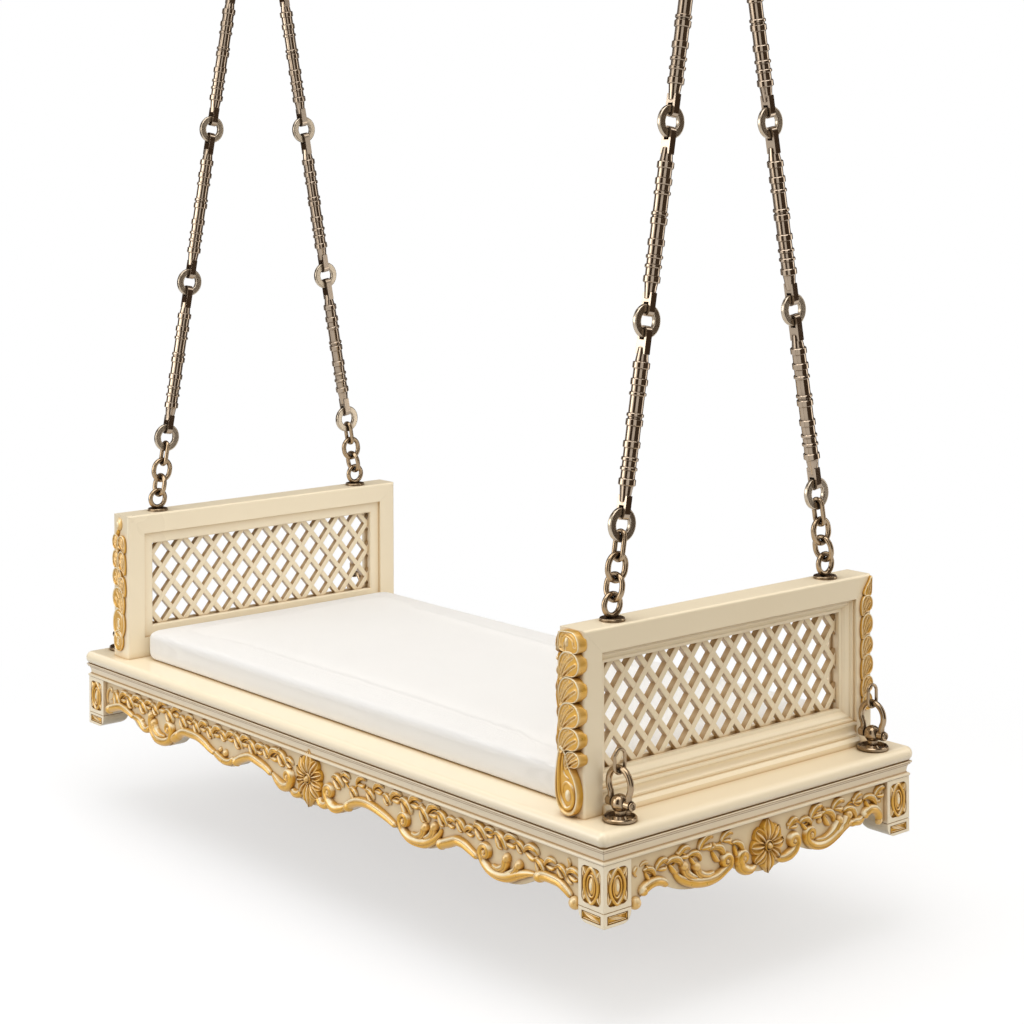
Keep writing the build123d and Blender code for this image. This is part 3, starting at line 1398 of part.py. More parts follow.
def bow_shackle():
    """The front right shackle: two bored eyes and an omega bow in the XZ plane."""
    middle = level(PIN_HEIGHT)
    bow_z = middle + SHACKLE_BOW_CENTRE
    corner_x = SHACKLE_LEG_X + SHACKLE_SHOULDER
    drop = sqrt((SHACKLE_BOW_RADIUS + SHACKLE_SHOULDER) ** 2 - corner_x**2)
    corner_z = bow_z - drop
    share = SHACKLE_BOW_RADIUS / (SHACKLE_BOW_RADIUS + SHACKLE_SHOULDER)
    join_x = corner_x * share
    join_z = bow_z - drop * share
    half_angle = atan2(drop, corner_x) / 2
    mid_x = corner_x - SHACKLE_SHOULDER * cos(half_angle)
    mid_z = corner_z + SHACKLE_SHOULDER * sin(half_angle)
    eye_half = SHACKLE_EYE_WIDTH / 2
    with BuildPart() as shackle:
        with BuildLine(Plane.XZ) as path:
            Line((SHACKLE_LEG_X, middle), (SHACKLE_LEG_X, corner_z))
            ThreePointArc((SHACKLE_LEG_X, corner_z), (mid_x, mid_z), (join_x, join_z))
            ThreePointArc((join_x, join_z), (0, bow_z + SHACKLE_BOW_RADIUS), (-join_x, join_z))
            ThreePointArc((-join_x, join_z), (-mid_x, mid_z), (-SHACKLE_LEG_X, corner_z))
            Line((-SHACKLE_LEG_X, corner_z), (-SHACKLE_LEG_X, middle))
        with BuildSketch(Plane(origin=path.line @ 0, z_dir=path.line % 0)):
            Circle(SHACKLE_WIRE / 2)
        sweep(path=path.line)
        for sign in (-1, 1):
            with BuildSketch(Plane.YZ.offset(sign * SHACKLE_LEG_X - eye_half)):
                with Locations((0, middle)):
                    Circle(SHACKLE_EYE_DIAMETER / 2)
            extrude(amount=2 * eye_half)
        with BuildSketch(Plane.YZ.offset(-2 * SHACKLE_LEG_X)):
            with Locations((0, middle)):
                Circle(SHACKLE_PIN / 2 + SHACKLE_PIN_PLAY)
        extrude(amount=4 * SHACKLE_LEG_X, mode=Mode.SUBTRACT)
    return shackle.part.translate((ANCHOR_X, -ANCHOR_Y, 0))


def spare_link():
    """The front right loose link, standing on the shackle's bow."""
    bow_top = SHACKLE_BOW_CENTRE + SHACKLE_BOW_RADIUS
    start = level(PIN_HEIGHT) + bow_top - (SHACKLE_WIRE + SPARE_LINK[2]) / 2 - LINK_PLAY
    link = oval_link(SPARE_LINK, start, Plane.YZ)
    return link.translate((ANCHOR_X, -ANCHOR_Y, 0))


with BuildPart() as anchor_studs:
    add(four_corners(anchor_stud().solids()))
save(anchor_studs, "anchor_studs")

with BuildPart() as anchor_pins:
    add(four_corners(anchor_pin().solids()))
save(anchor_pins, "anchor_pins")

for end_name, end in ENDS.items():
    for side_name, side in SIDES.items():
        for piece_name, piece in {"shackle": bow_shackle(), "spare_link": spare_link()}.items():
            placed = piece.solids()
            if side > 0:
                placed = [solid.mirror(Plane.XZ) for solid in placed]
            if end < 0:
                placed = other_end(placed)
            with BuildPart() as anchor_piece:
                add(placed)
            save(anchor_piece, f"{end_name}_{side_name}_{piece_name}")

print("chain lean in degrees", round(degrees(LEAN), 3))
print("ceiling height", round(CEILING_HEIGHT, 3))
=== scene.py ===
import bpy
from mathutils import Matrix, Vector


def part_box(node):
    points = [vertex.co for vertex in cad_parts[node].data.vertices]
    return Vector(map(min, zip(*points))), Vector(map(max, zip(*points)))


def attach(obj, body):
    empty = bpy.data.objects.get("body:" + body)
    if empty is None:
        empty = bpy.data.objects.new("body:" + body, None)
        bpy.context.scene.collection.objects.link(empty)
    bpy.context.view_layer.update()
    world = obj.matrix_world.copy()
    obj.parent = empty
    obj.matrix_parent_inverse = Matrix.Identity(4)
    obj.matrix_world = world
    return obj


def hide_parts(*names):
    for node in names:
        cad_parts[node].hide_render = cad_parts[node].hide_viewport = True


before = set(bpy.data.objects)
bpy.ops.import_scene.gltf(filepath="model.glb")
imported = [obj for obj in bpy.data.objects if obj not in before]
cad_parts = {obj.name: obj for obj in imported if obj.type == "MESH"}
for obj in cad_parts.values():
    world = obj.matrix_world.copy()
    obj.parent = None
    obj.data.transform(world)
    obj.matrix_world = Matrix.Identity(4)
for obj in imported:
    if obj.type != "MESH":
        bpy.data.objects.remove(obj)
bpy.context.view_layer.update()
CORNICE_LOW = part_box("cornice_front")[0].z

import logging
import math
from collections.abc import Sequence
from dataclasses import dataclass, field
from enum import Enum

import bmesh
import bpy
import numpy as np
from mathutils import Matrix, Vector

# Dressed model of a jhoola swing: gilded carving, lattice, mattress, paint and metal round the CAD frame.
# Carving is drawn in millimetres, and everything in Blender is in metres.

MM = 0.001
log = logging.getLogger("jhoola")
Point = tuple[float, float]
Value = "float | Wire"


def tone(red: float, green: float, blue: float) -> tuple[float, float, float, float]:
    """Linear colour of a finish given as it shows on a screen, 0 to 255.

    Args:
        red, green, blue: the colour as it shows.
    Returns:
        The linear colour with full opacity.
    """
    shares = [c / 255 for c in (red, green, blue)]
    line = [c / 12.92 if c <= 0.04045 else ((c + 0.055) / 1.055) ** 2.4 for c in shares]
    return (line[0], line[1], line[2], 1.0)


def put(name: str, data: bpy.types.ID) -> bpy.types.Object:
    """Put a mesh, curve, lamp or camera into the scene.

    Args:
        name: the object's name.
        data: what it shows.
    Returns:
        The object.
    """
    made = bpy.data.objects.new(name, data)
    bpy.context.scene.collection.objects.link(made)
    return made


def baked(thing: bpy.types.Object) -> bpy.types.Mesh:
    """The mesh that an object's modifiers make.

    Args:
        thing: the object.
    Returns:
        A new mesh.
    """
    bpy.context.view_layer.update()
    return bpy.data.meshes.new_from_object(thing.evaluated_get(bpy.context.evaluated_depsgraph_get()))


def face_out(mesh: bpy.types.Mesh) -> None:
    """Turn a closed mesh's faces outwards.

    Args:
        mesh: the mesh.
    """
    work = bmesh.new()
    work.from_mesh(mesh)
    bmesh.ops.recalc_face_normals(work, faces=work.faces)
    work.to_mesh(mesh)
    work.free()


# ---------------------------------------------------------------- node trees
class Wire:
    """A value in a node tree. Arithmetic on it adds Math nodes."""

    def __init__(self, tree: bpy.types.NodeTree, socket: bpy.types.NodeSocket) -> None:
        """Keep the tree and the socket that holds the value."""
        self.tree = tree
        self.socket = socket

    def calc(self, operation: str, first: "Value", second: "Value" = 0.0, clamp: bool = False) -> "Wire":
        """One Math node.

        Args:
            operation: the node's operation.
            first, second: its values, numbers or wires.
            clamp: whether the result is kept from 0 to 1.
        Returns:
            The node's result.
        """
        node = self.tree.nodes.new("ShaderNodeMath")
        node.operation = operation
        node.use_clamp = clamp
        for place, value in enumerate((first, second)):
            if isinstance(value, Wire):
                self.tree.links.new(value.socket, node.inputs[place])
            else:
                node.inputs[place].default_value = value
        return Wire(self.tree, node.outputs[0])

    def __add__(self, other: "Value") -> "Wire":
        """Sum."""
        return self.calc("ADD", self, other)

    def __sub__(self, other: "Value") -> "Wire":
        """Difference."""
        return self.calc("SUBTRACT", self, other)

    def __rsub__(self, other: "Value") -> "Wire":
        """Difference from a number."""
        return self.calc("SUBTRACT", other, self)

    def __mul__(self, other: "Value") -> "Wire":
        """Product."""
        return self.calc("MULTIPLY", self, other)

    def __truediv__(self, other: "Value") -> "Wire":
        """Quotient."""
        return self.calc("DIVIDE", self, other)

    __radd__ = __add__
    __rmul__ = __mul__

    def limited(self) -> "Wire":
        """The value kept from 0 to 1."""
        return self.calc("ADD", self, 0.0, clamp=True)


class Nodes:
    """A node tree, with short ways to add to it."""

    def __init__(self, tree: bpy.types.NodeTree) -> None:
        """Keep the tree.

        Args:
            tree: the tree that gets the nodes.
        """
        self.tree = tree

    def node(
        self, kind: str, settings: dict | None = None, values: dict | None = None, output: int | str = 0
    ) -> Wire:
        """Any node.

        Args:
            kind: the node's type.
            settings: its own settings, set first.
            values: numbers, colours or wires for its inputs.
            output: which output to return.
        Returns:
            The chosen output.
        """
        made = self.tree.nodes.new(kind)
        for key, value in (settings or {}).items():
            setattr(made, key, value)
        for key, value in (values or {}).items():
            if isinstance(value, Wire):
                self.tree.links.new(value.socket, made.inputs[key])
            else:
                made.inputs[key].default_value = value
        return Wire(self.tree, made.outputs[output])

    def blend(self, factor: "Value", first: "tuple | Wire", second: "tuple | Wire") -> Wire:
        """Two colours mixed.

        Args:
            factor: share of the second colour.
            first, second: the colours.
        Returns:
            The mixed colour.
        """
        return self.node("ShaderNodeMix", {"data_type": "RGBA"}, {0: factor, 6: first, 7: second}, output=2)

    def seen(self) -> Wire:
        """1 for what the camera, a gloss or a glass sees, else 0."""
        rays = self.tree.nodes.new("ShaderNodeLightPath")
        kinds = [Wire(self.tree, rays.outputs[f"Is {kind} Ray"]) for kind in ("Camera", "Glossy", "Transmission")]
        return (kinds[0] + kinds[1] + kinds[2]).limited()

    def close(self, result: Wire, kind: str = "ShaderNodeOutputMaterial") -> None:
        """Link the tree's result to its output node.

        Args:
            result: what the tree makes.
            kind: the output node's type.
        """
        self.tree.links.new(result.socket, self.tree.nodes.new(kind).inputs[0])


class GeometryTree(Nodes):
    """A Geometry Nodes tree that starts from an object's shape and takes named inputs."""

    def __init__(self, name: str, inputs: dict[str, str]) -> None:
        """Make the tree and its inputs.

        Args:
            name: the tree's name.
            inputs: each input's name and kind, the object's own shape first.
        """
        super().__init__(bpy.data.node_groups.new(name, "GeometryNodeTree"))
        face = self.tree.interface
        self.places = {
            key: face.new_socket(key, in_out="INPUT", socket_type=f"NodeSocket{kind}").identifier
            for key, kind in inputs.items()
        }
        face.new_socket("Result", in_out="OUTPUT", socket_type="NodeSocketGeometry")
        source = self.tree.nodes.new("NodeGroupInput")
        self.given = {key: Wire(self.tree, source.outputs[key]) for key in inputs}

    def sample(self, key: str) -> Wire:
        """The shape of an object that comes in as an input.

        Args:
            key: the input's name.
        Returns:
            Its shape.
        """
        return self.node("GeometryNodeObjectInfo", values={"Object": self.given[key]}, output="Geometry")

    def finish(self, shape: Wire, look: str) -> None:
        """Make every copy real, give it the finish and close the tree.

        Args:
            shape: what the tree has made.
            look: the name of the input with the finish.
        """
        real = self.node("GeometryNodeRealizeInstances", values={0: shape})
        painted = self.node("GeometryNodeSetMaterial", values={"Geometry": real, "Material": self.given[look]})
        self.close(painted, "NodeGroupOutput")

    def run(self, holder: bpy.types.Object, values: dict[str, object]) -> bpy.types.Mesh:
        """What the tree makes of an object.

        Args:
            holder: the object whose shape it starts from.
            values: its other inputs.
        Returns:
            A new mesh.
        """
        modifier = holder.modifiers.new(self.tree.name, "NODES")
        modifier.node_group = self.tree
        for key, value in values.items():
            modifier[self.places[key]] = value
        return baked(holder)


# ---------------------------------------------------------------- finishes
# Reaches, widths, depths and edges are in metres, scales are spots per metre, and shares are weights in a sum.
class FinishTree(Nodes):
    """The node tree of one finish, with what finishes share."""

    def __init__(self, name: str) -> None:
        """Make a new material.

        Args:
            name: the material's name.
        """
        self.material = bpy.data.materials.new(name)
        self.material.use_nodes = True
        super().__init__(self.material.node_tree)
        self.tree.nodes.clear()
        self.spot = self.node("ShaderNodeTexCoord", output="Object")

    def noise(self, scale: float, detail: float = 3.0, stretch: tuple[float, float, float] = (1, 1, 1)) -> Wire:
        """Cloudy variation.

        Args:
            scale: spots per metre.
            detail: layers of finer spots.
            stretch: how much closer the spots lie along each axis.
        Returns:
            The variation from 0 to 1.
        """
        where = self.node("ShaderNodeMapping", values={"Vector": self.spot, "Scale": stretch})
        return self.node("ShaderNodeTexNoise", values={"Vector": where, "Scale": scale, "Detail": detail})

    def axes(self) -> list[Wire]:
        """The shaded point's x, y and z, in metres."""
        split = self.tree.nodes.new("ShaderNodeSeparateXYZ")
        self.tree.links.new(self.spot.socket, split.inputs[0])
        return [Wire(self.tree, socket) for socket in split.outputs]

    def nook(self, reach: float) -> Wire:
        """How open the surface is, 0 in the depth of a recess and 1 in the open.

        Args:
            reach: how far away a neighbouring surface still counts, in metres.
        Returns:
            The openness.
        """
        return self.node("ShaderNodeAmbientOcclusion", {"samples": 8}, {"Distance": reach}, output="AO")

    def recess_shade(self, reach: float, gain: float, start: "Value") -> Wire:
        """Painted shade in recesses, 0 in the open and 1 in a recess; the gilding and metal also put their antique
        brown there.

        Args:
            reach: how far away a neighbouring surface still counts, in metres.
            gain: how fast the value grows as the surface closes in.
            start: how much of it is taken off.
        Returns:
            The value.
        """
        return ((1.0 - self.nook(reach)) * gain - start).limited()

    def carved(self, name: str) -> Wire:
        """A value that the mesh carries at each point.

        Args:
            name: the attribute's name.
        Returns:
            The value.
        """
        return self.node("ShaderNodeAttribute", {"attribute_name": name}, output="Fac")

    def finish(
        self, parts: dict, relief: Wire | None = None, depth: float = 0.0, round_edge: float = 0.0
    ) -> bpy.types.Material:
        """Close the tree with one surface shader.

        Args:
            parts: values for the shader's inputs.
            relief: height of the surface's fine relief, from 0 to 1.
            depth: that relief's depth in metres.
            round_edge: radius to which sharp edges look eased, in metres.
        Returns:
            The finished material.
        """
        normal = None
        if round_edge > 0:
            normal = self.node("ShaderNodeBevel", {"samples": 4}, {"Radius": round_edge})
        if relief is not None:
            values = {"Height": relief, "Distance": depth, "Strength": 1.0}
            if normal is not None:
                values["Normal"] = normal
            normal = self.node("ShaderNodeBump", values=values)
        if normal is not None:
            parts = {**parts, "Normal": normal}
        self.close(self.node("ShaderNodeBsdfPrincipled", values=parts))
        return self.material


@dataclass(frozen=True)
class PaintedWood:
    """Satin paint over wood, with painted shade: darker in its recesses and creases, on slat sides and along cornice
    grooves.
    """

    name: str
    paint: tuple
    painted_shade: tuple
    # painted shade: the reaches and shares below, the slat sides' share and the rows along the cornice grooves darken
    # the paint towards its shade tone
    painted_shade_reach: float = 0.014
    painted_shade_share: float = 0.85
    crease_reach: float = 0.0035
    crease_share: float = 0.55
    side_shade_share: float = 0.0
    rows: tuple[float, ...] = ()
    shade_row_width: float = 0.0013
    shade_row_share: float = 0.9
    crease_gain: float = 1.6
    crease_start: float = 0.12
    cloud_scale: float = 5.0
    cloud_share: float = 0.14
    roughness: float = 0.3
    coat: float = 0.22
    brush_scale: float = 260.0
    brush_depth: float = 0.00006
    edge: float = 0.0012

    def build(self) -> bpy.types.Material:
        """The finish as a material."""
        tree = FinishTree(self.name)
        cloud = (tree.noise(self.cloud_scale, 4.0) - 0.5) * self.cloud_share
        # painted shade: ambient occlusion darkens recesses and creases, and slat sides and cornice rows darken too;
        # the cloud is random tone
        hidden = (1.0 - tree.nook(self.painted_shade_reach)) * self.painted_shade_share + cloud
        hidden = hidden + tree.recess_shade(self.crease_reach, self.crease_gain, self.crease_start) * self.crease_share
        if self.side_shade_share > 0:
            hidden = hidden + tree.carved("side") * self.side_shade_share
        height = tree.axes()[2]
        for row in self.rows:
            gap = tree.spot.calc("ABSOLUTE", height - row)
            hidden = hidden + (1.0 - gap / self.shade_row_width).limited() * self.shade_row_share
        return tree.finish(
            {
                "Base Color": tree.blend(hidden.limited(), self.paint, self.painted_shade),
                "Roughness": self.roughness + cloud,
                "Coat Weight": self.coat,
                "Coat Roughness": self.coat,
            },
            relief=tree.noise(self.brush_scale, 2.0, (1, 1, 0.25)),
            depth=self.brush_depth,
            round_edge=self.edge,
        )


@dataclass(frozen=True)
class Gilding:
    """Antiqued gilding: a painted cream highlight on the top-facing crests with cream wear in places, and antique
    brown with painted shade in the cuts.
    """

    name: str = "gilding"
    # deep is the antique brown with painted shade for the cuts; the cream is both wear and painted highlight
    leaf: tuple = tone(223, 170, 60)
    deep: tuple = tone(132, 80, 20)
    cream_highlight_and_wear: tuple = tone(254, 242, 208)
    reach: float = 0.006
    gain: float = 1.2
    start: float = 0.10
    highlight_and_wear_share: float = 1.15
    cloud_scale: float = 38.0
    cloud_share: float = 0.35
    metallic: float = 0.4
    roughness: float = 0.3
    chisel_scale: float = 420.0
    chisel_depth: float = 0.00018

    def build(self) -> bpy.types.Material:
        """The finish as a material."""
        tree = FinishTree(self.name)
        cloud = tree.noise(self.cloud_scale, 3.0) - 0.5
        # painted shade: ambient occlusion darkens the cuts towards the antique brown
        hidden = tree.recess_shade(self.reach, self.gain, self.start)
        # painted highlight: the carved values light the top-facing crests in cream, with cream wear and random wear
        worn_and_lit = (tree.carved("crest") * self.highlight_and_wear_share + cloud * self.cloud_share).limited()
        antiqued_and_shaded = tree.blend(hidden, self.leaf, self.deep)
        return tree.finish(
            {
                "Base Color": tree.blend(worn_and_lit * (1.0 - hidden), antiqued_and_shaded, self.cream_highlight_and_wear),
                "Roughness": self.roughness + cloud * 0.16 + hidden * 0.25,
                "Metallic": (1.0 - worn_and_lit) * self.metallic,
                "Coat Weight": 0.25,
                "Coat Roughness": 0.2,
            },
            relief=tree.noise(self.chisel_scale, 2.0),
            depth=self.chisel_depth,
        )


@dataclass(frozen=True)
class AntiqueMetal:
    """Polished antique metal, brown in its corners: partly patina, partly painted shade."""

    name: str
    bright: tuple
    brown: tuple = tone(58, 40, 26)
    reach: float = 0.010
    gain: float = 1.5
    start: float = 0.04
    cloud_scale: float = 60.0
    cloud_share: float = 0.4
    roughness: float = 0.15
    rubbing_scale: float = 900.0
    rubbing_depth: float = 0.00002
    edge: float = 0.0006

    def build(self) -> bpy.types.Material:
        """The finish as a material."""
        tree = FinishTree(self.name)
        cloud = tree.noise(self.cloud_scale, 4.0) - 0.5
        # darker in the corners by ambient occlusion: patina and painted shade
        hidden = tree.recess_shade(self.reach, self.gain, self.start - cloud * self.cloud_share)
        return tree.finish(
            {
                "Base Color": tree.blend(hidden, self.bright, self.brown),
                "Metallic": 1.0,
                "Roughness": self.roughness + hidden * 0.3 + cloud * 0.1,
            },
            relief=tree.noise(self.rubbing_scale, 2.0),
            depth=self.rubbing_depth,
            round_edge=self.edge,
        )


@dataclass(frozen=True)
class WovenCotton:
    """Close plain weave, white, with a soft nap."""

    name: str = "mattress_cloth"
    cloth: tuple = tone(247, 247, 247)
    shade: tuple = tone(240, 240, 241)
    thread: float = 0.0009
    weave_share: float = 0.25
    nap_scale: float = 9.0
    nap_share: float = 0.9
    depth: float = 0.00035

    def build(self) -> bpy.types.Material:
        """The finish as a material."""
        tree = FinishTree(self.name)
        turn = 2 * math.pi / self.thread
        x, y, z = (tree.spot.calc("SINE", axis * turn) for axis in tree.axes())
        weave = x * y + x * z + y * z
        nap = tree.noise(self.nap_scale, 4.0)
        colour = tree.blend((nap * 0.5).limited(), self.cloth, self.shade)
        return tree.finish(
            {"Base Color": colour, "Roughness": 0.86, "Sheen Weight": 0.15, "Sheen Roughness": 0.5},
            relief=weave * self.weave_share + nap * self.nap_share,
            depth=self.depth,
        )


@dataclass(frozen=True)
class BareWood:
    """Planed softwood seen from below, with straight grain along X."""

    name: str = "plain_wood"
    early: tuple = tone(214, 182, 138)
    late: tuple = tone(170, 128, 82)

    def build(self) -> bpy.types.Material:
        """The finish as a material."""
        tree = FinishTree(self.name)
        streaks = tree.noise(16.0, 6.0, (0.12, 3.0, 3.0))
        fine = tree.noise(90.0, 4.0, (0.06, 3.0, 3.0))
        grain = (streaks * 1.6 + fine * 0.5 - 0.6).limited()
        return tree.finish(
            {"Base Color": tree.blend(grain, self.early, self.late), "Roughness": 0.62 + grain * 0.1},
            relief=fine,
            depth=0.0002,
            round_edge=0.0008,
        )


@dataclass(frozen=True)
class PlatedSteel:
    """Zinc plate with a faint crystal cloud."""

    name: str = "steel"
    plate: tuple = tone(186, 188, 190)
    dull: tuple = tone(140, 142, 146)

    def build(self) -> bpy.types.Material:
        """The finish as a material."""
        tree = FinishTree(self.name)
        cloud = tree.noise(220.0, 3.0)
        colour = tree.blend((cloud * 0.6).limited(), self.plate, self.dull)
        return tree.finish(
            {"Base Color": colour, "Metallic": 1.0, "Roughness": 0.34 + (cloud - 0.5) * 0.2},
            relief=cloud,
            depth=0.00003,
            round_edge=0.0004,
        )


class Look(Enum):
    """The finishes that pieces choose from."""

    # Each paint's second colour is its painted shade tone for recesses, creases, slat sides and cornice grooves.
    IVORY = PaintedWood("ivory_paint", tone(250, 237, 210), tone(200, 166, 112))
    SLAT = PaintedWood(
        "lattice_paint", tone(247, 233, 204), tone(176, 142, 94), side_shade_share=0.8, painted_shade_share=0.7
    )
    # The cornice's rows are painted shade lines at the heights of its grooves and under its beads.
    CORNICE = PaintedWood(
        "cornice_paint", tone(250, 237, 210), tone(176, 138, 86),
        rows=(CORNICE_LOW + 0.0068, CORNICE_LOW + 0.0185, CORNICE_LOW + 0.0232),
    )
    APRON = PaintedWood(
        "apron_paint", tone(230, 210, 172), tone(160, 122, 70), painted_shade_reach=0.012, painted_shade_share=0.75, roughness=0.4
    )
    GILT = Gilding()
    PEWTER = AntiqueMetal("antique_nickel", tone(172, 155, 136), roughness=0.1)
    NICKEL = AntiqueMetal("pale_nickel", tone(188, 174, 154), roughness=0.22)
    BRONZE = AntiqueMetal("antique_brass", tone(168, 146, 118), roughness=0.2)
    CLOTH = WovenCotton()
    WOOD = BareWood()
    STEEL = PlatedSteel()


class Paintbox:
    """Builds each finish once."""

    def __init__(self) -> None:
        """Start with no finish built."""
        self.built: dict[Look, bpy.types.Material] = {}

    def get(self, look: Look) -> bpy.types.Material:
        """The material of a finish.

        Args:
            look: the finish.
        Returns:
            Its material.
        """
        if look not in self.built:
            self.built[look] = look.value.build()
        return self.built[look]


# ---------------------------------------------------------------- carving tools
@dataclass(frozen=True)
class Ground:
    """A flat face that carving stands on: its origin, and which way along, up and out go."""

    origin: tuple[float, float, float]
    along: tuple[float, float, float]
    up: tuple[float, float, float]
    out: tuple[float, float, float]

    def place(self, points: np.ndarray) -> np.ndarray:
        """Points on this ground in the object's frame.

        Args:
            points: rows of along, up and out, in millimetres.
        Returns:
            Rows of x, y and z in metres.
        """
        return np.array(self.origin) + points * MM @ np.array([self.along, self.up, self.out])


class Section(Enum):
    """Cross sections of a carved stroke, as heights over a place from -1 to 1 across it."""

    ROUND = "round"
    BAND = "band"
    REED = "reed"

    def heights(self, across: np.ndarray) -> np.ndarray:
        """The section's relative height.

        Args:
            across: places across the stroke, from -1 to 1.
        Returns:
            Heights from 0 to 1.
        """
        arch = np.sqrt(np.clip(1 - across**2, 0, 1))
        if self is Section.BAND:
            return arch**0.8 * (1 - 0.3 * np.exp(-(((across - 0.38) / 0.13) ** 2)))
        if self is Section.REED:
            return arch**0.6 * (0.7 + 0.3 * np.abs(np.cos(1.5 * math.pi * across)))
        return arch


def smooth(points: Sequence[Point], step: float, closed: bool = False) -> np.ndarray:
    """A smooth curve through points, evenly sampled.

    Args:
        points: the points that it passes through.
        step: about how far apart the samples lie.
        closed: whether it comes back to its start.
    Returns:
        The samples, one row each.
    """
    knots = np.array(points, float)
    if closed:
        knots = np.vstack([knots[-1], knots, knots[0], knots[1]])
    else:
        knots = np.vstack([2 * knots[0] - knots[1], knots, 2 * knots[-1] - knots[-2]])
    fine = []
    t = np.linspace(0, 1, 12, endpoint=False)[:, None]
    for a, b, c, d in zip(knots, knots[1:], knots[2:], knots[3:]):
        bend, twist = 2 * a - 5 * b + 4 * c - d, 3 * b - a - 3 * c + d
        fine.append(0.5 * (2 * b + (c - a) * t + bend * t**2 + twist * t**3))
    curve = np.vstack([*fine, knots[-2][None]])
    run = np.concatenate([[0], np.cumsum(np.linalg.norm(np.diff(curve, axis=0), axis=1))])
    count = max(6, int(run[-1] / step) + 1)
    at = np.linspace(0, run[-1], count, endpoint=not closed)
    return np.column_stack([np.interp(at, run, curve[:, k]) for k in (0, 1)])


def spiral(centre: Point, radius: float, inner: float, start: float, turns: float, tall: float = 1.0) -> list[Point]:
    """Points along a volute.

    Args:
        centre: its middle.
        radius, inner: its radius at the start and at the end.
        start: its first angle in degrees.
        turns: how far it goes round, negative for clockwise.
        tall: its height over its width.
    Returns:
        The points, from the outside in.
    """
    count = max(6, int(abs(turns) * 12))
    places = []
    for k in range(count + 1):
        t = k / count
        angle = math.radians(start + 360 * turns * t)
        reach = radius + (inner - radius) * t**0.8
        places.append((centre[0] + reach * math.cos(angle), centre[1] + reach * math.sin(angle) * tall))
    return places


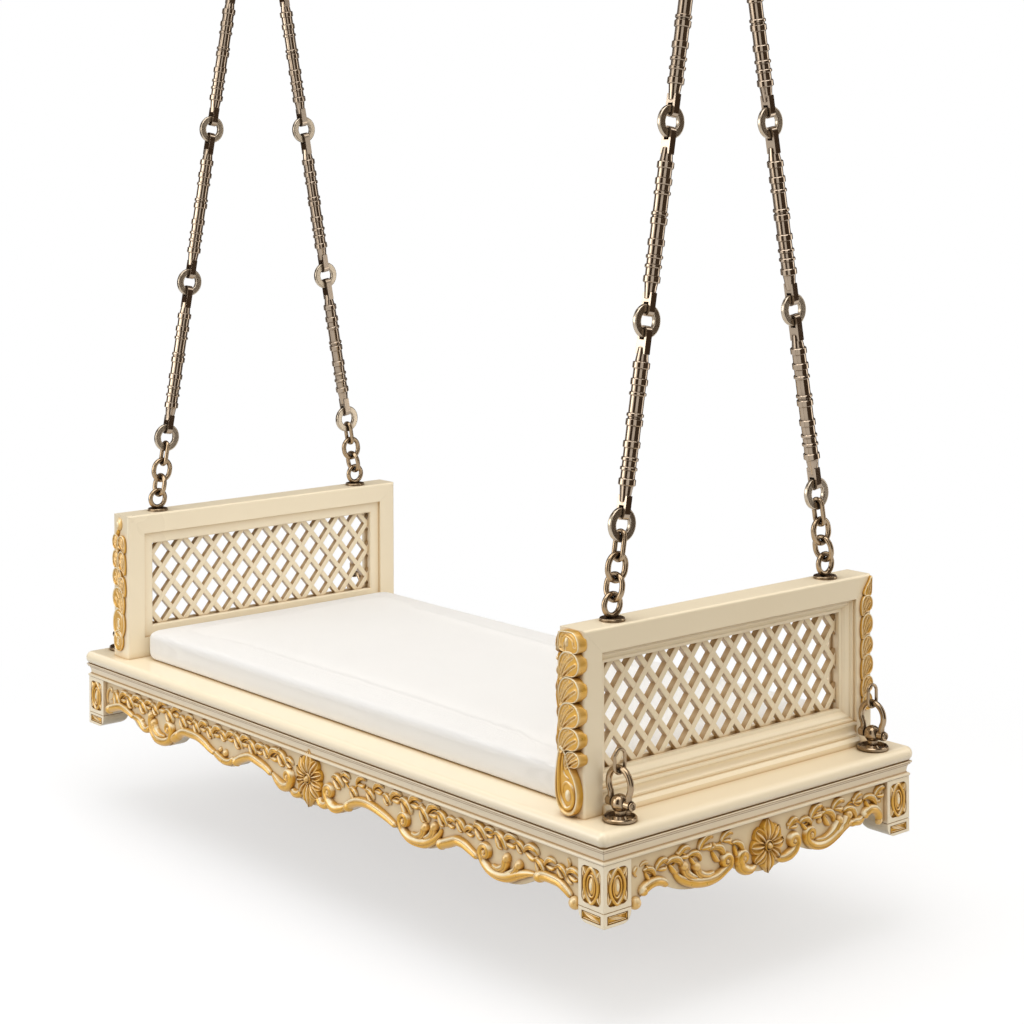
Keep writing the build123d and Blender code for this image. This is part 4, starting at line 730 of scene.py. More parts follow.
class Carving:
    """Closed carved shapes gathered on one ground, in millimetres.

    foot is how far a shape reaches under its base. The highlight values say how strong the painted highlight along a
    stroke's top-facing side is, and where across it that band lies.
    """

    foot = 0.6
    highlight_and_wear_share = 0.95
    highlight_at = 0.56
    highlight_width = 0.24

    def __init__(self, lit_side: float = 1.0) -> None:
        """Start with bare ground.

        Args:
            lit_side: which side gets the most painted highlight, 1 along and -1 against.
        """
        self.lit_side = lit_side
        self.points: list[np.ndarray] = []
        self.highlights_and_wear: list[np.ndarray] = []
        self.faces: list[list[int]] = []
        self.count = 0

    def _add(self, points: np.ndarray, crest: np.ndarray, faces: list[list[int]]) -> None:
        """Keep one shape.

        Args:
            points: rows of along, up and out.
            crest: how much cream wear and painted highlight each point gets.
            faces: its faces, counted from its own first point.
        """
        self.points.append(points)
        self.highlights_and_wear.append(np.clip(crest, 0, 1))
        self.faces += [[k + self.count for k in face] for face in faces]
        self.count += len(points)

    @staticmethod
    def _walls(rows: int, ring: int, closed: bool = False) -> list[list[int]]:
        """Faces between rows of points that each go round in a ring.

        Args:
            rows: how many rows there are.
            ring: how many points each has.
            closed: whether the last row joins the first.
        Returns:
            The faces.
        """
        faces = []
        for row in range(rows if closed else rows - 1):
            a, b = row * ring, ((row + 1) % rows) * ring
            faces += [[a + k, a + (k + 1) % ring, b + (k + 1) % ring, b + k] for k in range(ring)]
        return faces

    @staticmethod
    def _ends(rows: int, ring: int) -> list[list[int]]:
        """The two flat faces that close rows of points."""
        return [list(range(ring))[::-1], [(rows - 1) * ring + k for k in range(ring)]]

    @staticmethod
    def _tip(rows: int, ring: int) -> list[list[int]]:
        """Faces from the last row to the one point after it, and the flat face of the first row."""
        last = (rows - 1) * ring
        faces = [[last + k, last + (k + 1) % ring, rows * ring] for k in range(ring)]
        return [*faces, list(range(ring))[::-1]]

    def stroke(
        self,
        points: Sequence[Point],
        width: Sequence[float],
        height: Sequence[float],
        section: Section = Section.ROUND,
        base: float = 0.0,
        closed: bool = False,
        cream_highlight_and_wear: float = 0.0,
        step: float = 2.0,
    ) -> None:
        """A carved band along a curve.

        Args:
            points: the points that its middle line passes through.
            width: half widths, spread evenly along it.
            height: heights, spread evenly along it.
            section: its cross section.
            base: height that it starts from.
            closed: whether it comes back to its start.
            cream_highlight_and_wear: how much cream wear and painted highlight it gets all over.
            step: about how far apart its cross sections lie.
        """
        line = smooth(points, step, closed)
        count = len(line)
        lead = np.roll(line, -1, 0) - np.roll(line, 1, 0) if closed else np.gradient(line, axis=0)
        lead /= np.maximum(np.linalg.norm(lead, axis=1, keepdims=True), 1e-9)
        side = np.column_stack([-lead[:, 1], lead[:, 0]])
        t = np.linspace(0, 1, count)
        half = np.interp(t, np.linspace(0, 1, len(width)), width)
        high = np.interp(t, np.linspace(0, 1, len(height)), height)
        if not closed:
            run = np.concatenate([[0], np.cumsum(np.linalg.norm(np.diff(line, axis=0), axis=1))])
            for gap, cap in ((run, half[0]), (run[-1] - run, half[-1])):
                near = np.clip(gap / max(cap, 0.6), 0, 1)
                ease = np.sqrt(np.clip(1 - (1 - near) ** 2, 0.004, 1))
                half, high = half * ease, high * (0.35 + 0.65 * ease)
        places = 11 if section is Section.ROUND else 19
        across = -np.cos(np.linspace(0, math.pi, places))
        rise = section.heights(across)
        ring = places + 2
        pts = np.empty((count, ring, 3))
        crest = np.zeros((count, ring))
        for k, (s, r) in enumerate(zip([-1.0, *across, 1.0], [-1.0, *rise, -1.0])):
            pts[:, k, :2] = line + side * (half * s)[:, None]
            pts[:, k, 2] = base - self.foot if r < 0 else base + high * r
            # painted highlight: a cream band along the stroke's top-facing side, over its cream wear
            lit = np.exp(-(((side[:, 1] * s - self.highlight_at) / self.highlight_width) ** 2))
            crest[:, k] = cream_highlight_and_wear + (0 if r < 0 else self.highlight_and_wear_share) * lit
        faces = self._walls(count, ring, closed)
        if not closed:
            faces += self._ends(count, ring)
        self._add(pts.reshape(-1, 3), crest.reshape(-1), faces)

    def dome(self, centre: Point, radius: Point, height: float, base: float = 0.0, cream_highlight_and_wear: float = 0.2) -> None:
        """A boss, berry or ball.

        Args:
            centre: its middle.
            radius: its half width and half height.
            height: how far it stands out.
            base: height that it starts from.
            cream_highlight_and_wear: how much cream wear and painted highlight it gets.
        """
        around, rings = 20, 6
        angle = np.linspace(0, 2 * math.pi, around, endpoint=False)
        rows, crest = [], []
        for k in range(rings):
            lift = 0.5 * math.pi * k / rings
            rows.append(
                np.column_stack([
                    centre[0] + radius[0] * np.cos(angle) * math.cos(lift),
                    centre[1] + radius[1] * np.sin(angle) * math.cos(lift),
                    np.full(around, base + height * math.sin(lift)),
                ])
            )
            # painted highlight on the dome's upper flank and its top
            crest.append(cream_highlight_and_wear + 0.5 * np.clip(np.sin(angle), 0, 1) ** 2 * math.sin(2 * lift))
        foot = rows[0].copy()
        foot[:, 2] = base - self.foot
        rows.insert(0, foot)
        crest.insert(0, np.zeros(around))
        pts = np.vstack([*rows, [[centre[0], centre[1], base + height]]])
        faces = self._walls(len(rows), around) + self._tip(len(rows), around)
        self._add(pts, np.concatenate([*crest, [cream_highlight_and_wear + 0.3]]), faces)

    def petal(
        self, root: Point, tip: Point, width: float, height: float, ribs: int = 3, pointed: bool = False,
        base: float = 0.0, cream_highlight_and_wear: float = 0.0, full: float = 0.62,
    ) -> None:
        """A ribbed petal or leaf.

        Args:
            root, tip: its two ends.
            width: its largest half width.
            height: how far it stands out at its fullest.
            ribs: raised ribs along it.
            pointed: whether its tip is pointed.
            base: height that it starts from.
            cream_highlight_and_wear: how much cream wear and painted highlight it gets.
            full: how far along it is widest.
        """
        start, axis = np.array(root, float), np.array(tip, float) - np.array(root, float)
        side = np.array([-axis[1], axis[0]]) / max(np.linalg.norm(axis), 1e-6)
        along, across = 15, 6 * ribs + 1
        t = np.linspace(0, 1, along)
        swell = np.where(t < full, np.sin(0.5 * math.pi * t / full) ** 0.8, 0)
        fall = np.clip((1 - t) / (1 - full), 0, 1)
        swell = np.where(t >= full, fall**0.9 if pointed else np.sqrt(np.clip(1 - (1 - fall) ** 2, 0, 1)), swell)
        half = width * np.maximum(swell, 0.03)
        s = np.linspace(-1, 1, across)
        ridge = 0.74 + 0.26 * np.cos(math.pi * ribs * (s + 1 / ribs * (ribs % 2 == 0)))
        lift = np.clip(1 - s**4, 0, 1) ** 0.5 * ridge
        body = 0.45 + 0.55 * np.sin(math.pi * np.clip(t, 0.02, 0.92))
        ring = across + 2
        pts, crest = np.empty((along, ring, 3)), np.zeros((along, ring))
        for k, (place, high) in enumerate(zip([-1.0, *s, 1.0], [-1.0, *lift, -1.0])):
            pts[:, k, :2] = start + axis * t[:, None] + side * (half * place)[:, None]
            pts[:, k, 2] = base - self.foot if high < 0 else base + height * body * high
            # cream on the rib tops: wear and painted highlight
            crest[:, k] = cream_highlight_and_wear + 0.7 * np.clip(high - 0.84, 0, 0.16) / 0.16
        faces = self._walls(along, ring) + self._ends(along, ring)
        self._add(pts.reshape(-1, 3), crest.reshape(-1), faces)

    def lobe(
        self, outline: Sequence[Point], back: float, front: float, dish: float = 2.4,
        cuts: Sequence[Sequence[Point]] = (),
    ) -> None:
        """A thick rolled leaf lobe with a raised rim and cut veins.

        Args:
            outline: points round it.
            back, front: where its thickness starts and ends.
            dish: how deep its face lies inside the rim.
            cuts: lines of the veins cut in its face.
        """
        edge = smooth(outline, 1.9, closed=True)
        middle = edge.mean(0)
        deep = front - back
        # each level's scale, height, and cream of wear and painted highlight, up the side and over the rim
        levels = [
            (0.965, back, 0.0), (0.99, back + 0.12 * deep, 0.0), (1.0, back + 0.35 * deep, 0.04),
            (1.0, back + 0.7 * deep, 0.1), (0.992, front - 1.5, 0.3), (0.975, front - 0.5, 0.8),
            (0.955, front, 1.0), (0.925, front - 0.05, 1.0), (0.9, front - 0.4, 0.8), (0.875, front - 1.1, 0.2),
            (0.855, front - 0.85 * dish, 0.0),
        ]
        for k in range(11):
            scale = 0.83 - 0.081 * k
            levels.append((scale, front - dish * (1.0 - 0.5 * (1 - scale / 0.83)), 0.0))
        around = len(edge)
        rows, crest = [], []
        for scale, out, worn_and_lit in levels:
            row = np.column_stack([middle + (edge - middle) * scale, np.full(around, out)])
            lit = np.zeros(around)
            if scale < 0.87:
                for cut in cuts:
                    gap = self._distance(row[:, :2], smooth(cut, 1.5))
                    row[:, 2] += 1.3 * np.exp(-(((gap - 2.2) / 1.0) ** 2)) - 2.0 * np.exp(-((gap / 0.9) ** 2))
                    # painted highlight along the ridges beside the cut veins
                    lit = np.maximum(lit, 0.45 * np.exp(-(((gap - 2.2) / 0.8) ** 2)))
            rows.append(row)
            # painted highlight: the rim is lighter where it faces up and towards the lit side
            tilt = (edge - middle) / np.ptp(edge, axis=0)
            bend = np.clip(tilt[:, 1] + 0.6 + 0.4 * self.lit_side * tilt[:, 0], 0, 1)
            crest.append(np.maximum(worn_and_lit * (0.3 + 0.7 * bend), lit))
        pts = np.vstack([*rows, [[*middle, rows[-1][:, 2].mean()]]])
        faces = self._walls(len(levels), around) + self._tip(len(levels), around)
        self._add(pts, np.concatenate([*crest, [0.0]]), faces)

    def slab(self, corners: Sequence[Point], low: float, high: float) -> None:
        """A thin flat ground under other carving.

        Args:
            corners: its corners.
            low, high: where its thickness starts and ends.
        """
        points = np.array([[x, y, z] for z in (low, high) for x, y in corners])
        count = len(corners)
        faces = [list(range(count))[::-1], list(range(count, 2 * count))]
        faces += [[k, (k + 1) % count, count + (k + 1) % count, count + k] for k in range(count)]
        self._add(points, np.zeros(len(points)), faces)

    @staticmethod
    def _distance(points: np.ndarray, line: np.ndarray) -> np.ndarray:
        """Distance of each point from a sampled line."""
        return np.linalg.norm(points[:, None, :] - line[None], axis=2).min(1)

    def mesh(self, name: str, grounds: Sequence[Ground]) -> bpy.types.Mesh:
        """All shapes as one mesh, repeated on each ground.

        Args:
            name: the mesh's name.
            grounds: where the shapes stand.
        Returns:
            The mesh, with a value of cream wear and painted highlight at each point.
        """
        flat = np.vstack(self.points)
        places = np.vstack([ground.place(flat) for ground in grounds])
        faces = [[k + turn * self.count for k in face] for turn in range(len(grounds)) for face in self.faces]
        mesh = bpy.data.meshes.new(name)
        mesh.from_pydata([tuple(p) for p in places], [], faces)
        worn_and_lit = mesh.attributes.new("crest", "FLOAT", "POINT")
        worn_and_lit.data.foreach_set("value", np.tile(np.concatenate(self.highlights_and_wear), len(grounds)).astype(np.float32))
        face_out(mesh)
        mesh.shade_smooth()
        return mesh


@dataclass
class Workshop:
    """Turns meshes into pieces of the object."""

    paints: Paintbox

    def piece(
        self, mesh: bpy.types.Mesh, body: str, look: Look, slot: str, replaces: Sequence[str] = ()
    ) -> bpy.types.Object:
        """Put a mesh into the scene as a piece.

        Args:
            mesh: its mesh, in place.
            body: the body that it rides on.
            look: its finish.
            slot: the record's material slot; not used.
            replaces: CAD nodes that it stands for.
        Returns:
            The piece.
        """
        made = put(mesh.name, mesh)
        mesh.materials.clear()
        mesh.materials.append(self.paints.get(look))
        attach(made, body)
        if replaces:
            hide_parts(*replaces)
        log.info("%s: %d faces on %s", mesh.name, len(mesh.polygons), body)
        return made


# ---------------------------------------------------------------- sizes taken from the CAD frame
@dataclass(frozen=True)
class Places:
    """Faces of the CAD frame that the dressing stands on, in metres."""

    feet: float = field(default_factory=lambda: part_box("corner_posts")[0].z)
    deck: float = field(default_factory=lambda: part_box("deck_panel")[1].z)
    post_x: float = field(default_factory=lambda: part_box("corner_posts")[1].x)
    post_y: float = field(default_factory=lambda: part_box("corner_posts")[1].y)
    apron_y: float = field(default_factory=lambda: -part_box("apron_front")[0].y)
    apron_x: float = field(default_factory=lambda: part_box("apron_ends")[1].x)
    stile_y: float = field(default_factory=lambda: -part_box("right_front_stile")[0].y)
    outer_x: float = field(default_factory=lambda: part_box("right_front_stile")[1].x)

    def front_and_back(self) -> list[Ground]:
        """The long aprons' faces, with the height counted from the feet."""
        return [
            Ground((0, -self.apron_y, self.feet), (1, 0, 0), (0, 0, 1), (0, -1, 0)),
            Ground((0, self.apron_y, self.feet), (-1, 0, 0), (0, 0, 1), (0, 1, 0)),
        ]

    def both_ends(self) -> list[Ground]:
        """The end aprons' faces, with the height counted from the feet."""
        return [
            Ground((self.apron_x, 0, self.feet), (0, 1, 0), (0, 0, 1), (1, 0, 0)),
            Ground((-self.apron_x, 0, self.feet), (0, -1, 0), (0, 0, 1), (-1, 0, 0)),
        ]


# ---------------------------------------------------------------- aprons
@dataclass(frozen=True)
class CScroll:
    """A C-scroll of the apron's edge: a tail, a bowl and a volute at one end."""

    tail: tuple[Point, ...]
    eye: Point
    radius: float
    clockwise: bool
    curls: tuple[tuple[Point, ...], ...] = ()
    growth: float = 1.22
    turns: float = 1.35
    inner: float = 3.6

    def carve(self, work: Carving) -> None:
        """Add the scroll to a carving.

        Args:
            work: the carving that gets it.
        """
        turn, start = (-self.turns, 232.0) if self.clockwise else (self.turns, -52.0)
        line = [*self.tail, *spiral(self.eye, self.radius, self.inner, start, turn)]
        width, height = (3.0, 7.2, 9.2, 8.8, 7.4, 6.4, 5.2, 4.0), (5, 9, 11.5, 11.5, 11, 10.5, 10, 9)
        work.stroke(line, width, height, Section.BAND, step=1.8)
        work.dome(self.eye, (5.2, 5.2), 11.0, cream_highlight_and_wear=0.25)
        for curl in self.curls:
            (x, y), grown = curl[0], self.growth
            line = [(x + (u - x) * grown, y + (v - y) * grown) for u, v in curl]
            work.stroke(line, (3.6, 6.2, 7.4, 7.4), (6, 9, 10.5, 10.5), Section.REED, cream_highlight_and_wear=0.05, step=1.8)
            work.dome(line[-1], (8.0, 8.0), 11.5, cream_highlight_and_wear=0.1)


@dataclass(frozen=True)
class ApronCarving:
    """The carving of one pair of aprons, drawn from left to right in millimetres."""

    name: str
    arches: tuple[tuple[Point, ...], ...]
    scrolls: tuple[CScroll, ...]
    small: tuple[tuple[Point, ...], ...]
    balls: tuple[tuple[float, float, float], ...]
    garland: tuple[tuple[Point, ...], ...]
    sprigs: tuple[tuple[Point, ...], ...]
    rosette: Point
    petals: tuple[tuple[float, float, float, bool], ...]
    boss: float
    reach: float = 13.0
    root: float = 5.0
    fullness: float = 1.12

    def edge(self) -> Carving:
        """The bands, scrolls and balls along the apron's lower edge."""
        work = Carving()
        for arch in self.arches:
            work.stroke(arch, (8.0, 8.8, 8.4, 7.4, 5.6), (9.5, 10.5, 10.5, 9.5, 8), Section.BAND)
            cut = max(2, len(arch) // 3)
            work.stroke(arch[:cut], (9.0, 9.6, 9.2), (11.0, 11.8, 11.2), Section.ROUND, step=1.8)
        for scroll in self.scrolls:
            scroll.carve(work)
        for line in self.small:
            work.stroke(line, (6.5, 7.5, 7.0, 5.5), (8, 9.5, 9.5, 7.5), Section.BAND)
        for along, up, radius in self.balls:
            work.dome((along, up), (radius, radius), radius * 1.05, cream_highlight_and_wear=0.15)
        return work

    def flower(self) -> Carving:
        """The fan rosette in the apron's middle."""
        work = Carving()
        work.dome(self.rosette, (17.0, 17.0), 6.0, cream_highlight_and_wear=0.0)
        for angle, length, width, pointed in self.petals:
            turn = math.radians(angle)
            away = (math.cos(turn), math.sin(turn))
            root, tip = (
                (self.rosette[0] + gap * away[0], self.rosette[1] + gap * away[1]) for gap in (self.root, length)
            )
            work.petal(root, tip, width * self.fullness, self.reach, 3, pointed, full=0.66)
        work.dome(self.rosette, (self.boss, self.boss), self.reach + 2.6, cream_highlight_and_wear=0.1)
        ring = self.boss + 1.6
        work.stroke(spiral(self.rosette, ring, ring, 0, 0.92), (1.4, 1.4), (11.0, 11.0), closed=True)
        return work

    def low_relief(self) -> Carving:
        """Small leaves and stems at the garland's ends."""
        work = Carving()
        for sprig in self.sprigs:
            work.stroke(sprig, (1.4, 2.6, 3.2, 2.4), (2.4, 3.4, 4.0, 3.2), Section.REED, cream_highlight_and_wear=0.18, step=1.6)
        return work


FRONT_CARVING = ApronCarving(
    name="front",
    arches=(
        ((-699, 35), (-681, 43), (-651, 52), (-634, 52), (-612, 47), (-596, 41)),
        ((-452, 27), (-440, 35), (-423, 45), (-408, 51), (-386, 52), (-361, 51), (-338, 45), (-321, 38), (-303, 33)),
        ((-238, 30), (-224, 37), (-210, 44), (-183, 52), (-156, 48), (-134, 43), (-116, 35)),
        ((108, 26), (124, 38), (144, 46), (168, 49), (189, 47), (212, 42), (230, 37), (251, 30)),
        ((362, 27), (379, 33), (397, 40), (411, 45), (429, 44), (446, 38), (464, 31)),
        ((602, 36), (622, 43), (641, 44), (659, 42), (674, 35), (686, 27)),
    ),
    scrolls=(
        CScroll(
            ((-541, 52), (-534, 40), (-524, 28), (-508, 19), (-490, 17), (-472, 20), (-458, 28)), (-463, 46), 13.0,
            False,
            (((-480, 27), (-494, 27), (-506, 33), (-511, 43)), ((-504, 25), (-517, 32), (-524, 44), (-524, 53))),
        ),
        CScroll(((-116, 38), (-102, 31), (-88, 25), (-74, 23), (-61, 27)), (-62, 44), 11.0, False),
        CScroll(((108, 30), (96, 24), (82, 20), (70, 22), (60, 29)), (62, 45), 11.0, True),
        CScroll(
            ((372, 54), (364, 42), (350, 31), (330, 22), (309, 19), (289, 20), (272, 28)), (275, 46), 13.0, True,
            (((291, 28), (304, 27), (317, 33), (323, 44)), ((313, 25), (330, 29), (343, 38), (347, 49))),
        ),
        CScroll(
            ((602, 40), (586, 37), (564, 30), (538, 20), (514, 17), (495, 20), (480, 29)), (484, 46), 13.0, True,
            (((498, 28), (511, 26), (524, 32), (529, 45)), ((520, 22), (536, 24), (550, 31), (557, 41))),
        ),
    ),
    small=(
        ((-596, 42), (-582, 42), (-570, 38), (-558, 29), (-546, 27), (-536, 34)),
        ((-304, 35), (-288, 30), (-268, 26), (-252, 28), (-240, 36)),
        ((-54, 22), (-42, 18), (-30, 20), (-22, 28)),
        ((26, 28), (36, 19), (48, 18), (58, 24)),
    ),
    balls=((691, 20, 10.5), (-566, 40, 6.0), (-268, 41, 7.0), (-286, 44, 5.0)),
    garland=(
        (
            (-672, 74), (-650, 66), (-628, 76), (-606, 66), (-584, 76), (-562, 67), (-540, 78), (-516, 70),
            (-490, 78), (-466, 72), (-440, 79), (-416, 68), (-392, 78), (-366, 66), (-342, 76), (-318, 64),
            (-294, 76), (-270, 66), (-246, 78), (-222, 68), (-198, 78), (-172, 66), (-148, 77), (-122, 64),
            (-98, 76), (-74, 68),
        ),
        (
            (70, 70), (96, 76), (122, 62), (148, 76), (174, 66), (200, 78), (226, 66), (252, 77), (276, 70),
            (302, 78), (328, 66), (354, 78), (380, 66), (406, 76), (432, 64), (458, 78), (486, 72), (512, 79),
            (538, 68), (564, 78), (590, 60), (612, 66), (634, 58), (656, 66), (676, 60),
        ),
    ),
    sprigs=(
        ((-698, 48), (-702, 62), (-696, 76), (-686, 80), (-681, 72)),
        ((-690, 58), (-680, 62), (-674, 70), (-676, 78)),
        ((672, 60), (682, 68), (692, 66)), ((672, 60), (680, 74), (676, 84)), ((672, 60), (676, 50), (686, 46)),
    ),
    rosette=(3, 55),
    petals=(
        (90, 51, 15, True), (54, 42, 11, False), (20, 40, 10, False), (-14, 38, 10, False), (-48, 42, 11, False),
        (-90, 50, 14, True), (-132, 42, 11, False), (194, 38, 10, False), (160, 40, 10, False), (126, 42, 11, False),
    ),
    boss=7.0,
)

END_CARVING = ApronCarving(
    name="end",
    arches=(
        ((-272, 33), (-259, 42), (-243, 46), (-227, 43), (-214, 35)),
        ((236, 44), (245, 52), (257, 55), (269, 51), (277, 42), (280, 31)),
    ),
    scrolls=(
        CScroll(
            ((-200, 54), (-192, 42), (-175, 32), (-151, 25), (-128, 22), (-107, 24), (-90, 31)), (-88, 44), 11.0,
            False,
            (((-112, 31), (-127, 30), (-141, 36), (-146, 46)), ((-136, 28), (-154, 32), (-168, 41), (-172, 51))),
        ),
        CScroll(((-18, 22), (-32, 18), (-45, 21), (-54, 27)), (-50, 41), 9.5, True),
        CScroll(((26, 24), (38, 20), (52, 21), (66, 27)), (66, 43), 10.5, False),
        CScroll(
            ((222, 40), (206, 43), (190, 40), (172, 33), (152, 25), (134, 22), (116, 25), (104, 32)), (107, 45), 11.0,
            True, (((121, 31), (138, 30), (155, 37), (167, 49)), ((146, 28), (165, 33), (182, 42), (190, 52))),
        ),
    ),
    small=(((206, 40), (216, 42), (226, 41), (238, 45)),),
    balls=((-280, 22, 10.0), (229, 40, 7.5), (279, 30, 7.0), (131, 61, 5.5)),
    garland=(
        (
            (-262, 66), (-242, 60), (-222, 70), (-202, 62), (-182, 74), (-160, 64), (-138, 74), (-116, 66),
            (-94, 74), (-70, 66),
        ),
        (
            (58, 64), (78, 70), (98, 62), (122, 74), (146, 66), (168, 72), (188, 64), (208, 74), (228, 66), (248, 76),
            (268, 72),
        ),
    ),
    sprigs=(
        ((131, 74), (131, 68), (131, 62)), ((112, 60), (122, 70), (138, 72), (150, 62)),
        ((-270, 74), (-262, 78), (-252, 76)), ((-276, 60), (-282, 68), (-276, 76)),
        ((268, 72), (278, 78), (284, 72)), ((272, 66), (280, 62), (284, 66)),
    ),
    rosette=(5, 49),
    petals=(
        (90, 44, 14, True), (45, 38, 12, False), (3, 37, 12, False), (-40, 37, 11, False),
        (-90, 44, 13, True), (-140, 37, 11, False), (177, 37, 12, False), (135, 38, 12, False),
    ),
    boss=6.5,
)


class GarlandTree(GeometryTree):
    """Geometry Nodes that run a stem along a curve and set leaves and berries beside it in turn."""

    def __init__(self) -> None:
        """Link the whole tree."""
        inputs = {
            "Stem": "Geometry", "Leaf": "Object", "Berry": "Object", "Spacing": "Float", "Stem Radius": "Float",
            "Spread": "Float", "Seed": "Int", "Gilding": "Material",
        }
        super().__init__("garland", inputs)
        given = self.given
        spaced = self.node(
            "GeometryNodeResampleCurve", {"mode": "LENGTH"}, {"Curve": given["Stem"], "Length": given["Spacing"]}
        )
        ahead = self.node("GeometryNodeInputTangent")
        lean = self.node("FunctionNodeAlignRotationToVector", {"axis": "X"}, {"Vector": ahead})
        number = self.node("GeometryNodeInputIndex")
        sign = number.calc("MODULO", number, 2.0) * 2.0 - 1.0
        swing = sign * given["Spread"] * self._between(0.75, 1.25)
        upright = self.node("ShaderNodeCombineXYZ", values={2: swing})
        turn = self.node("FunctionNodeEulerToRotation", values={0: upright})
        turned = self.node("FunctionNodeRotateRotation", {"rotation_space": "LOCAL"}, {0: lean, 1: turn})
        copies = {"Points": spaced, "Rotation": turned, "Scale": self._between(0.82, 1.18)}
        leaves = self.node("GeometryNodeInstanceOnPoints", values={**copies, "Instance": self.sample("Leaf")})
        third = self.node(
            "FunctionNodeCompare", {"data_type": "FLOAT", "operation": "LESS_THAN"},
            {0: number.calc("MODULO", number, 3.0), 1: 0.5},
        )
        berries = self.node(
            "GeometryNodeInstanceOnPoints", values={**copies, "Selection": third, "Instance": self.sample("Berry")}
        )
        ring = self.node("GeometryNodeCurvePrimitiveCircle", values={"Resolution": 8, "Radius": given["Stem Radius"]})
        stem = self.node(
            "GeometryNodeCurveToMesh", values={"Curve": given["Stem"], "Profile Curve": ring, "Fill Caps": True}
        )
        joined = self.tree.nodes.new("GeometryNodeJoinGeometry")
        for part in (stem, leaves, berries):
            self.tree.links.new(part.socket, joined.inputs[0])
        self.finish(Wire(self.tree, joined.outputs[0]), "Gilding")

    def _between(self, low: float, high: float) -> Wire:
        """A random number for each point, from low to high."""
        values = {2: low, 3: high, "Seed": self.given["Seed"]}
        return self.node("FunctionNodeRandomValue", {"data_type": "FLOAT"}, values, output=1)


@dataclass
class Garland:
    """The leafy stems along the upper part of the aprons."""

    shop: Workshop
    spacing: float = 27.0
    stem_radius: float = 1.8
    stem_height: float = 0.6
    spread: float = 0.42
    sway: float = 1.15

    def __post_init__(self) -> None:
        """Make the tree, the leaf and the berry."""
        self.tree = GarlandTree()
        self.leaf = self._sample("garland_leaf", self._leaf())
        self.berry = self._sample("garland_berry", self._berry())

    @staticmethod
    def _leaf() -> Carving:
        """A small ribbed leaf with a curled tip and a side lobe, its stalk at the origin."""
        work = Carving()
        curve = [(-2, 0), (5, 6), (15, 8), (24, 4), (28, -3)]
        work.stroke(curve, (1.6, 4.0, 5.4, 4.2, 1.4), (4, 6, 7.5, 6.5, 3.5), Section.REED, step=1.6)
        lobe = [(2, 0), (9, -4.5), (17, -8.5), (22, -7)]
        work.stroke(lobe, (1.4, 3.2, 3.8, 1.6), (3.5, 5.5, 6, 4), step=1.6)
        return work

    @staticmethod
    def _berry() -> Carving:
        """A berry beside the stem."""
        work = Carving()
        work.dome((2.0, 8.0), (3.2, 3.2), 5.5, cream_highlight_and_wear=0.1)
        return work

    @staticmethod
    def _sample(name: str, work: Carving) -> bpy.types.Object:
        """A shape lying at the origin that the tree copies."""
        return put(name, work.mesh(name, [Ground((0, 0, 0), (1, 0, 0), (0, 1, 0), (0, 0, 1))]))

    def run(self, name: str, stems: Sequence[Sequence[Point]], seed: int) -> bpy.types.Mesh:
        """The garland of one apron, lying flat at the origin.

        Args:
            name: the mesh's name.
            stems: the points that each stem passes through, in millimetres.
            seed: seed of the leaves' small differences.
        Returns:
            Its mesh, with along and up as x and y.
        """
        curve = bpy.data.curves.new(name, "CURVE")
        curve.dimensions = "3D"
        for stem in stems:
            middle = np.array(stem, float)[:, 1].mean()
            line = smooth([(x, middle + self.sway * (y - middle)) for x, y in stem], 2.5)
            spline = curve.splines.new("POLY")
            spline.points.add(len(line) - 1)
            for point, (x, y) in zip(spline.points, line):
                point.co = (x * MM, y * MM, self.stem_height * MM, 1)
        holder = put(name, curve)
        values = {
            "Leaf": self.leaf, "Berry": self.berry, "Gilding": self.shop.paints.get(Look.GILT), "Seed": seed,
            "Spacing": self.spacing * MM, "Stem Radius": self.stem_radius * MM, "Spread": self.spread,
        }
        mesh = self.tree.run(holder, values)
        bpy.data.objects.remove(holder)
        return mesh

    def close(self) -> None:
        """Take the samples away once every garland is made."""
        for sample in (self.leaf, self.berry):
            bpy.data.objects.remove(sample)


@dataclass
class Aprons:
    """All carving on the four aprons."""

    shop: Workshop
    places: Places

    def build(self) -> None:
        """Carve the front and back pair and the end pair."""
        garland = Garland(self.shop)
        for work, grounds, seed in (
            (FRONT_CARVING, self.places.front_and_back(), 3), (END_CARVING, self.places.both_ends(), 8),
        ):
            nodes = ("edging_front", "edging_back") if work.name == "front" else ("edging_ends",)
            self.shop.piece(work.edge().mesh(f"{work.name}_scrolls", grounds), "seat", Look.GILT, "gilding", nodes)
            self.shop.piece(work.low_relief().mesh(f"{work.name}_sprigs", grounds), "seat", Look.GILT, "gilding")
            flower = work.flower().mesh(f"{work.name}_rosettes", grounds)
            self.shop.piece(flower, "seat", Look.GILT, "gilding", ("rosettes",))
            flat = garland.run(f"{work.name}_garland", work.garland, seed)
            self.shop.piece(self._stand(flat, grounds), "seat", Look.GILT, "gilding")
        garland.close()

    @staticmethod
    def _stand(flat: bpy.types.Mesh, grounds: Sequence[Ground]) -> bpy.types.Mesh:
        """Stand a flat mesh on each ground.

        Args:
            flat: the mesh, lying in x and y.
            grounds: where it stands.
        Returns:
            One mesh of all copies.
        """
        work = bmesh.new()
        for ground in grounds:
            axes = Matrix((ground.along, ground.up, ground.out)).transposed().to_4x4()
            one = flat.copy()
            one.transform(Matrix.Translation(ground.origin) @ axes)
            work.from_mesh(one)
            bpy.data.meshes.remove(one)
        bmesh.ops.recalc_face_normals(work, faces=work.faces)
        work.to_mesh(flat)
        work.free()
        flat.shade_smooth()
        return flat


